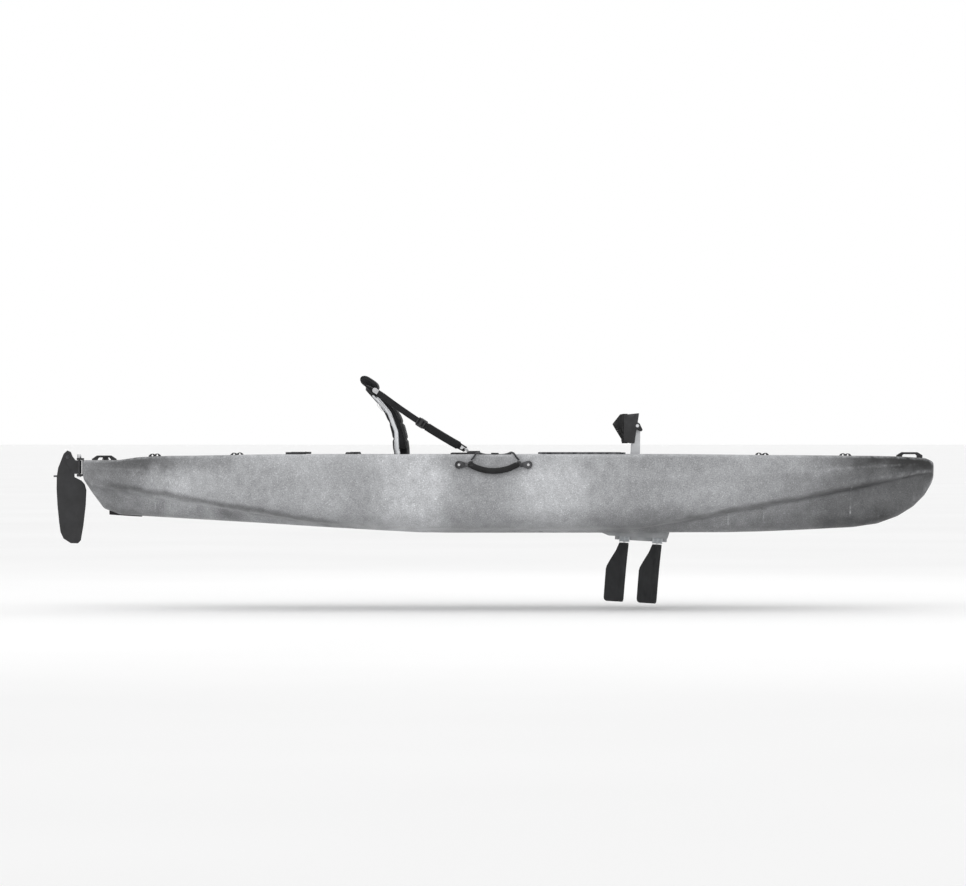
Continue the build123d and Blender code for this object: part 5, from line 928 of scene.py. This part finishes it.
for name, side in SIDES.items():
    line = StrapLine(side)
    body = f"strap_{name}"
    start, stop = WEBBING_ENDS[0], line.length - WEBBING_ENDS[1]
    webbing = line.ribbon(f"webbing_{name}", start, stop, WEBBING_HALF_W, WEBBING_HALF_T, 90)
    sleeve = line.ribbon(
        f"padded_sleeve_{name}", *SLEEVE_SPAN, SLEEVE_HALF_W, SLEEVE_HALF_T, 44, sleeve_profile, 2.6)
    ladder_lock = buckle(f"ladder_lock_{name}", line, *BUCKLE_SPAN)
    for piece, slot, node_name in (
        (webbing, "webbing", "seat_strap"),
        (sleeve, "seat_fabric", "strap_sleeve"),
        (ladder_lock, "black_plastic", "strap_buckle"),
    ):
        paint(piece, slot)
        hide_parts(f"{node_name}_{name}")
        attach(piece, body)
    for end, span in FOLD_SPANS.items():
        fold = line.ribbon(f"webbing_fold_{end}_{name}", *span, WEBBING_HALF_W - 0.6, FOLD_HALF_T, 12)
        paint(fold, "webbing")
        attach(fold, body)
    for k, s in enumerate(BINDINGS_AT):
        turns = [2 * pi * i / 32 for i in range(32)]
        ring = [
            line.at(s, (SLEEVE_HALF_W + 0.4) * cos(turn), (SLEEVE_HALF_T - 0.4) * sin(turn)) * MM
            for turn in turns
        ]
        piping(f"sleeve_binding_{k + 1}_{name}", sleeve, ring, 0.0014, body)


# ---------------------------------------------------------------- paddle keepers
KEEPER_ROUTE = [
    (-163, 424.5, 310.5), (-152, 422.5, 322), (-141, 417.5, 340), (-133, 397, 342.5), (-122, 375, 336),
    (-100, 350, 331), (-79, 326, 331), (-70, 312.5, 331), (-54, 312.5, 331), (-45, 326, 331),
    (-24, 350, 331), (-2, 375, 336), (9, 397, 342.5), (17, 417.5, 340), (28, 422.5, 322), (39, 424.5, 310.5),
]
BUNGEE_R = 4.0
for name, side in SIDES.items():
    data = bpy.data.curves.new(f"bungee_{name}", "CURVE")
    data.dimensions = "3D"
    data.bevel_depth = BUNGEE_R * MM
    data.bevel_resolution = 4
    data.resolution_u = 12
    spline = data.splines.new("NURBS")
    spline.points.add(len(KEEPER_ROUTE) - 1)
    for at, (x, y, z) in zip(spline.points, KEEPER_ROUTE):
        at.co = (x * MM, side * y * MM, z * MM, 1)
    spline.order_u = 3
    spline.use_endpoint_u = True
    data.use_fill_caps = True
    bungee = new_object(f"bungee_{name}", data)
    paint(bungee, "cord")
    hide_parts(f"paddle_bungee_{name}")
    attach(bungee, "hull")
    x, y, z = KEEPER_ROUTE[0]


# ---------------------------------------------------------------- pedal drive
DRIVE_PITCH = radians(3.2)
DRIVE = (566.0, -25.0)
FIN_SPACING = 142.0


def drive_point(u, v, y=0.0):
    """A point u forward of the drive's middle and v above it, along its own pitch."""
    x = DRIVE[0] + u * cos(DRIVE_PITCH) + v * sin(DRIVE_PITCH)
    z = DRIVE[1] - u * sin(DRIVE_PITCH) + v * cos(DRIVE_PITCH)
    return (x, y, z)


# the fin as (height, how far it reaches before the mast, how far behind it)
FIN_OUTLINE = [
    (-24.5, 19, 20), (-31, 20, 23), (-60, 18.5, 34), (-100, 16.5, 56), (-126, 15.2, 69), (-140, 14.7, 72.5),
    (-200, 12.8, 74), (-262, 11.2, 75), (-270, 10.6, 73.5), (-276, 9, 69), (-279, 6, 62),
]
FIN_STEP = 6.0
FIN_HALF_T = 8.0
FIN_TIP_HALF_T = 5.0
FIN_RIBS = 6
MAST_SLEEVE_R = 13.0
FOIL_STEPS = 36


def fin_ring(u, v, fore, aft, half_t):
    """A foil round the mast at u, with ribs that run down its tail."""
    ring = []
    for i in range(2 * FOIL_STEPS):
        top = i < FOIL_STEPS
        part = (i if top else 2 * FOIL_STEPS - i) / FOIL_STEPS
        chord = (1 - cos(pi * part)) / 2
        x = fore - chord * (fore + aft)
        if x > 0:
            thick = half_t * max(0.0, 1 - (x / fore) ** 2) ** 0.5
        else:
            tail = -x / aft
            sleeve = max(0.0, 1 - (-x / MAST_SLEEVE_R) ** 2) ** 0.5 * (x > -MAST_SLEEVE_R)
            thick = half_t * (1 - tail) ** 1.6 * 0.55 + half_t * 0.45 * sleeve
            thick = max(thick, 1.1 * (1 - tail) ** 0.25) if tail < 1 else 0.0
            rib = max(0.0, sin(pi * min(1.0, tail * 1.05) * FIN_RIBS))
            thick += 0.35 * rib * (0.15 < tail < 0.95) * (v < -60)
        ring.append(drive_point(u + x, v, thick if top else -thick))
    return ring


def fin(name, u):
    rings = []
    for (v0, f0, a0), (v1, f1, a1) in zip(FIN_OUTLINE, FIN_OUTLINE[1:]):
        steps = max(1, round((v0 - v1) / FIN_STEP))
        for i in range(steps):
            t = i / steps
            v = v0 + t * (v1 - v0)
            half_t = FIN_HALF_T - 1.2 * ease(-v, 40, 270)
            rings.append(fin_ring(u, v, f0 + t * (f1 - f0), a0 + t * (a1 - a0), half_t))
    v, fore, aft = FIN_OUTLINE[-1]
    rings.append(fin_ring(u, v, fore, aft, FIN_TIP_HALF_T))
    return loft(name, rings)


def spun(name, centre, forward, profile, sides, teeth, depth):
    """A turned piece: profile is (distance along the axis, radius, whether it has teeth)."""
    forward = Vector(forward).normalized()
    side = Vector((0, 1, 0))
    up = forward.cross(side)
    rings = []
    for along, radius, toothed in profile:
        ring = []
        for i in range(sides):
            turn = 2 * pi * i / sides
            tooth = max(0.0, sin(turn * teeth)) ** 0.5 if toothed else 0.0
            r = radius - depth * tooth
            ring.append(Vector(centre) + along * forward + r * (cos(turn) * side + sin(turn) * up))
        rings.append(ring)
    return loft(name, rings)


FORWARD = (cos(DRIVE_PITCH), 0, -sin(DRIVE_PITCH))
SPROCKET_HALF = [
    (2, 21.8, False), (3, 20.6, False), (4, 20.4, True), (15, 20.4, True), (16, 20.6, False),
    (17, 21.8, False), (21, 21.6, False), (22, 20, False), (22.2, 8, False), (36, 8, False),
]
SPROCKET_PROFILE = [(-along, radius, toothed) for along, radius, toothed in reversed(SPROCKET_HALF)]
SPROCKET_PROFILE += SPROCKET_HALF
SPROCKET_SIDES = 144
SPROCKET_TEETH = 18
TOOTH_DEPTH = 3.0
for name, u in {"rear": -FIN_SPACING / 2, "front": FIN_SPACING / 2}.items():
    blade = fin(f"fin_blade_{name}", u)
    paint(blade, "fin_rubber")
    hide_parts(f"fin_{name}")
    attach(blade, f"fin_{name}")
    sprocket = spun(
        f"sprocket_{name}", drive_point(u, 0), FORWARD, SPROCKET_PROFILE, SPROCKET_SIDES, SPROCKET_TEETH,
        TOOTH_DEPTH)
    paint(sprocket, "sprocket")
    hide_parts(f"fin_sprocket_{name}")
    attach(sprocket, f"mast_{name}")

PEDAL_TREAD_Z = [392, 402, 412, 422, 432, 472, 482, 492, 502]
PEDAL_FOOT = (523, 381)
PEDAL_RUN = (20, 128)  # how far its face leans forward over its height
PEDAL_TREAD_Y = (92, 188)
SMOOTH_TREAD = 0.3
for name, side in SIDES.items():
    ribs = []
    for z in PEDAL_TREAD_Z:
        x = PEDAL_FOOT[0] + PEDAL_RUN[0] * (z - PEDAL_FOOT[1]) / PEDAL_RUN[1]
        bar = [(x - 2.4, z - 1.6), (x + 0.6, z - 2.6), (x + 0.6, z + 2.6), (x - 2.4, z + 1.6)]
        ribs.append(extruded("rib", bar, side * PEDAL_TREAD_Y[0], side * PEDAL_TREAD_Y[1]))
    tread = joined(f"pedal_tread_{name}", ribs)
    shade(tread.data, SMOOTH_TREAD)
    paint(tread, "black_rubber")
    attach(tread, f"pedal_{name}")


# ---------------------------------------------------------------- rudder blade
BLADE_OUTLINE = [
    (-1868, 236), (-1869, 306), (-1884, 344), (-1899, 351), (-1915, 337), (-1939, 276), (-1945, 239),
    (-1946, 187), (-1942, 115), (-1935, 43), (-1929, 0), (-1916, -28), (-1885, -48), (-1853, -49),
    (-1841, -36), (-1830, 28), (-1820, 115), (-1817, 180), (-1824, 205), (-1838, 221),
]
BLADE_HALF_T = 4.0
BLADE_EDGE = 0.28  # share of its thickness that the blade keeps at its edge
BLADE_TAPER = 0.030  # metres from the edge to the full thickness
HEAD_FLAT_Z = (0.23, 0.26)  # the head keeps its full thickness above the second height
KNOB_X = (-1958, -1940)
KNOB_Z = 240.0
KNOB_R = 3.9


def distance_to_outline(points, outline):
    """How far each side-view point is from the outline, in metres."""
    best = np.full(len(points), 1e9)
    ring = [np.array(p) * MM for p in outline]
    for start, end in zip(ring, ring[1:] + ring[:1]):
        run = end - start
        t = np.clip(((points - start) @ run) / (run @ run), 0, 1)
        best = np.minimum(best, np.linalg.norm(points - start - t[:, None] * run, axis=1))
    return best


blade = extruded("rudder_foil", BLADE_OUTLINE, -BLADE_HALF_T, BLADE_HALF_T)
knob = rod("knob", (KNOB_X[0], 0, KNOB_Z), (KNOB_X[1], 0, KNOB_Z), KNOB_R, 24)
blade = remesh(joined("rudder_foil", [blade]), 0.002, smooth=4)
points = coordinates(blade)
inside = distance_to_outline(points[:, [0, 2]], BLADE_OUTLINE)
taper = np.clip(inside / BLADE_TAPER, 0, 1)
full = BLADE_EDGE + (1 - BLADE_EDGE) * np.sqrt(np.clip(2 * taper - taper**2, 0, 1))
head_flat = np.clip((points[:, 2] - HEAD_FLAT_Z[0]) / (HEAD_FLAT_Z[1] - HEAD_FLAT_Z[0]), 0, 1)
points[:, 1] *= full * (1 - head_flat) + head_flat
set_coordinates(blade, points)
paint(blade, "black_plastic")
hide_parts("rudder_blade")
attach(blade, "rudder_blade")
paint(knob, "black_plastic")
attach(knob, "rudder_blade")


# ---------------------------------------------------------------- floor, light and camera
FLOOR_GAP = 0.02
VIEW_CENTRE = (-0.1128, 0.3825)
VIEW_WIDTH = 4.152
LENS = 180.0
SENSOR = 36.0
DISTANCE = VIEW_WIDTH / 2 / (SENSOR / 2 / LENS)

FLOOR_SIZE = 2000.0

floor_z = cad_low.z - FLOOR_GAP
floor_corners = [(x * FLOOR_SIZE, y * FLOOR_SIZE, floor_z) for x, y in ((-1, -1), (1, -1), (1, 1), (-1, 1))]
floor_mesh = bpy.data.meshes.new("floor")
floor_mesh.from_pydata(floor_corners, [], [(0, 1, 2, 3)])
floor = new_object("floor", floor_mesh)
pale, tree, shader = start_material("floor_paper", specular=0.2)
shader.inputs["Roughness"].default_value = 0.9
tone = ramp(tree, noise(tree, 3.0, 2), [(0.3, (0.90, 0.90, 0.90)), (0.7, (0.93, 0.93, 0.93))])
tree.links.new(tone, shader.inputs["Base Color"])
floor_mesh.materials.append(pale)

world = bpy.data.worlds.new("studio")
bpy.context.scene.world = world
world.use_nodes = True
world.node_tree.nodes["Background"].inputs["Color"].default_value = (1, 1, 1, 1)
world.node_tree.nodes["Background"].inputs["Strength"].default_value = 1.0


def area_light(name, at, target, size, power):
    data = bpy.data.lights.new(name, "AREA")
    data.shape = "RECTANGLE"
    data.size, data.size_y = size
    data.energy = power
    light = bpy.data.objects.new(name, data)
    light.location = at
    light.rotation_mode = "QUATERNION"
    light.rotation_quaternion = (Vector(target) - Vector(at)).to_track_quat("-Z", "Y")
    bpy.context.scene.collection.objects.link(light)


area_light("key_light", (-1.5, -4.0, 4.5), (0, 0, 0.2), (4.0, 2.0), 30)
area_light("fill_light", (3.5, -4.5, 1.5), (0.5, 0, 0.1), (3.0, 2.0), 10)
area_light("rim_light", (0.5, 4.5, 3.5), (0, 0, 0.2), (5.0, 1.5), 25)

camera_data = bpy.data.cameras.new("camera")
camera_data.lens = LENS
camera_data.sensor_width = SENSOR
camera_data.clip_end = 5000
camera = bpy.data.objects.new("camera", camera_data)
camera.location = (VIEW_CENTRE[0], -DISTANCE, VIEW_CENTRE[1])
camera.rotation_euler = (radians(90), 0, 0)
bpy.context.scene.collection.objects.link(camera)
bpy.context.scene.camera = camera
bpy.context.scene.view_settings.view_transform = "Standard"
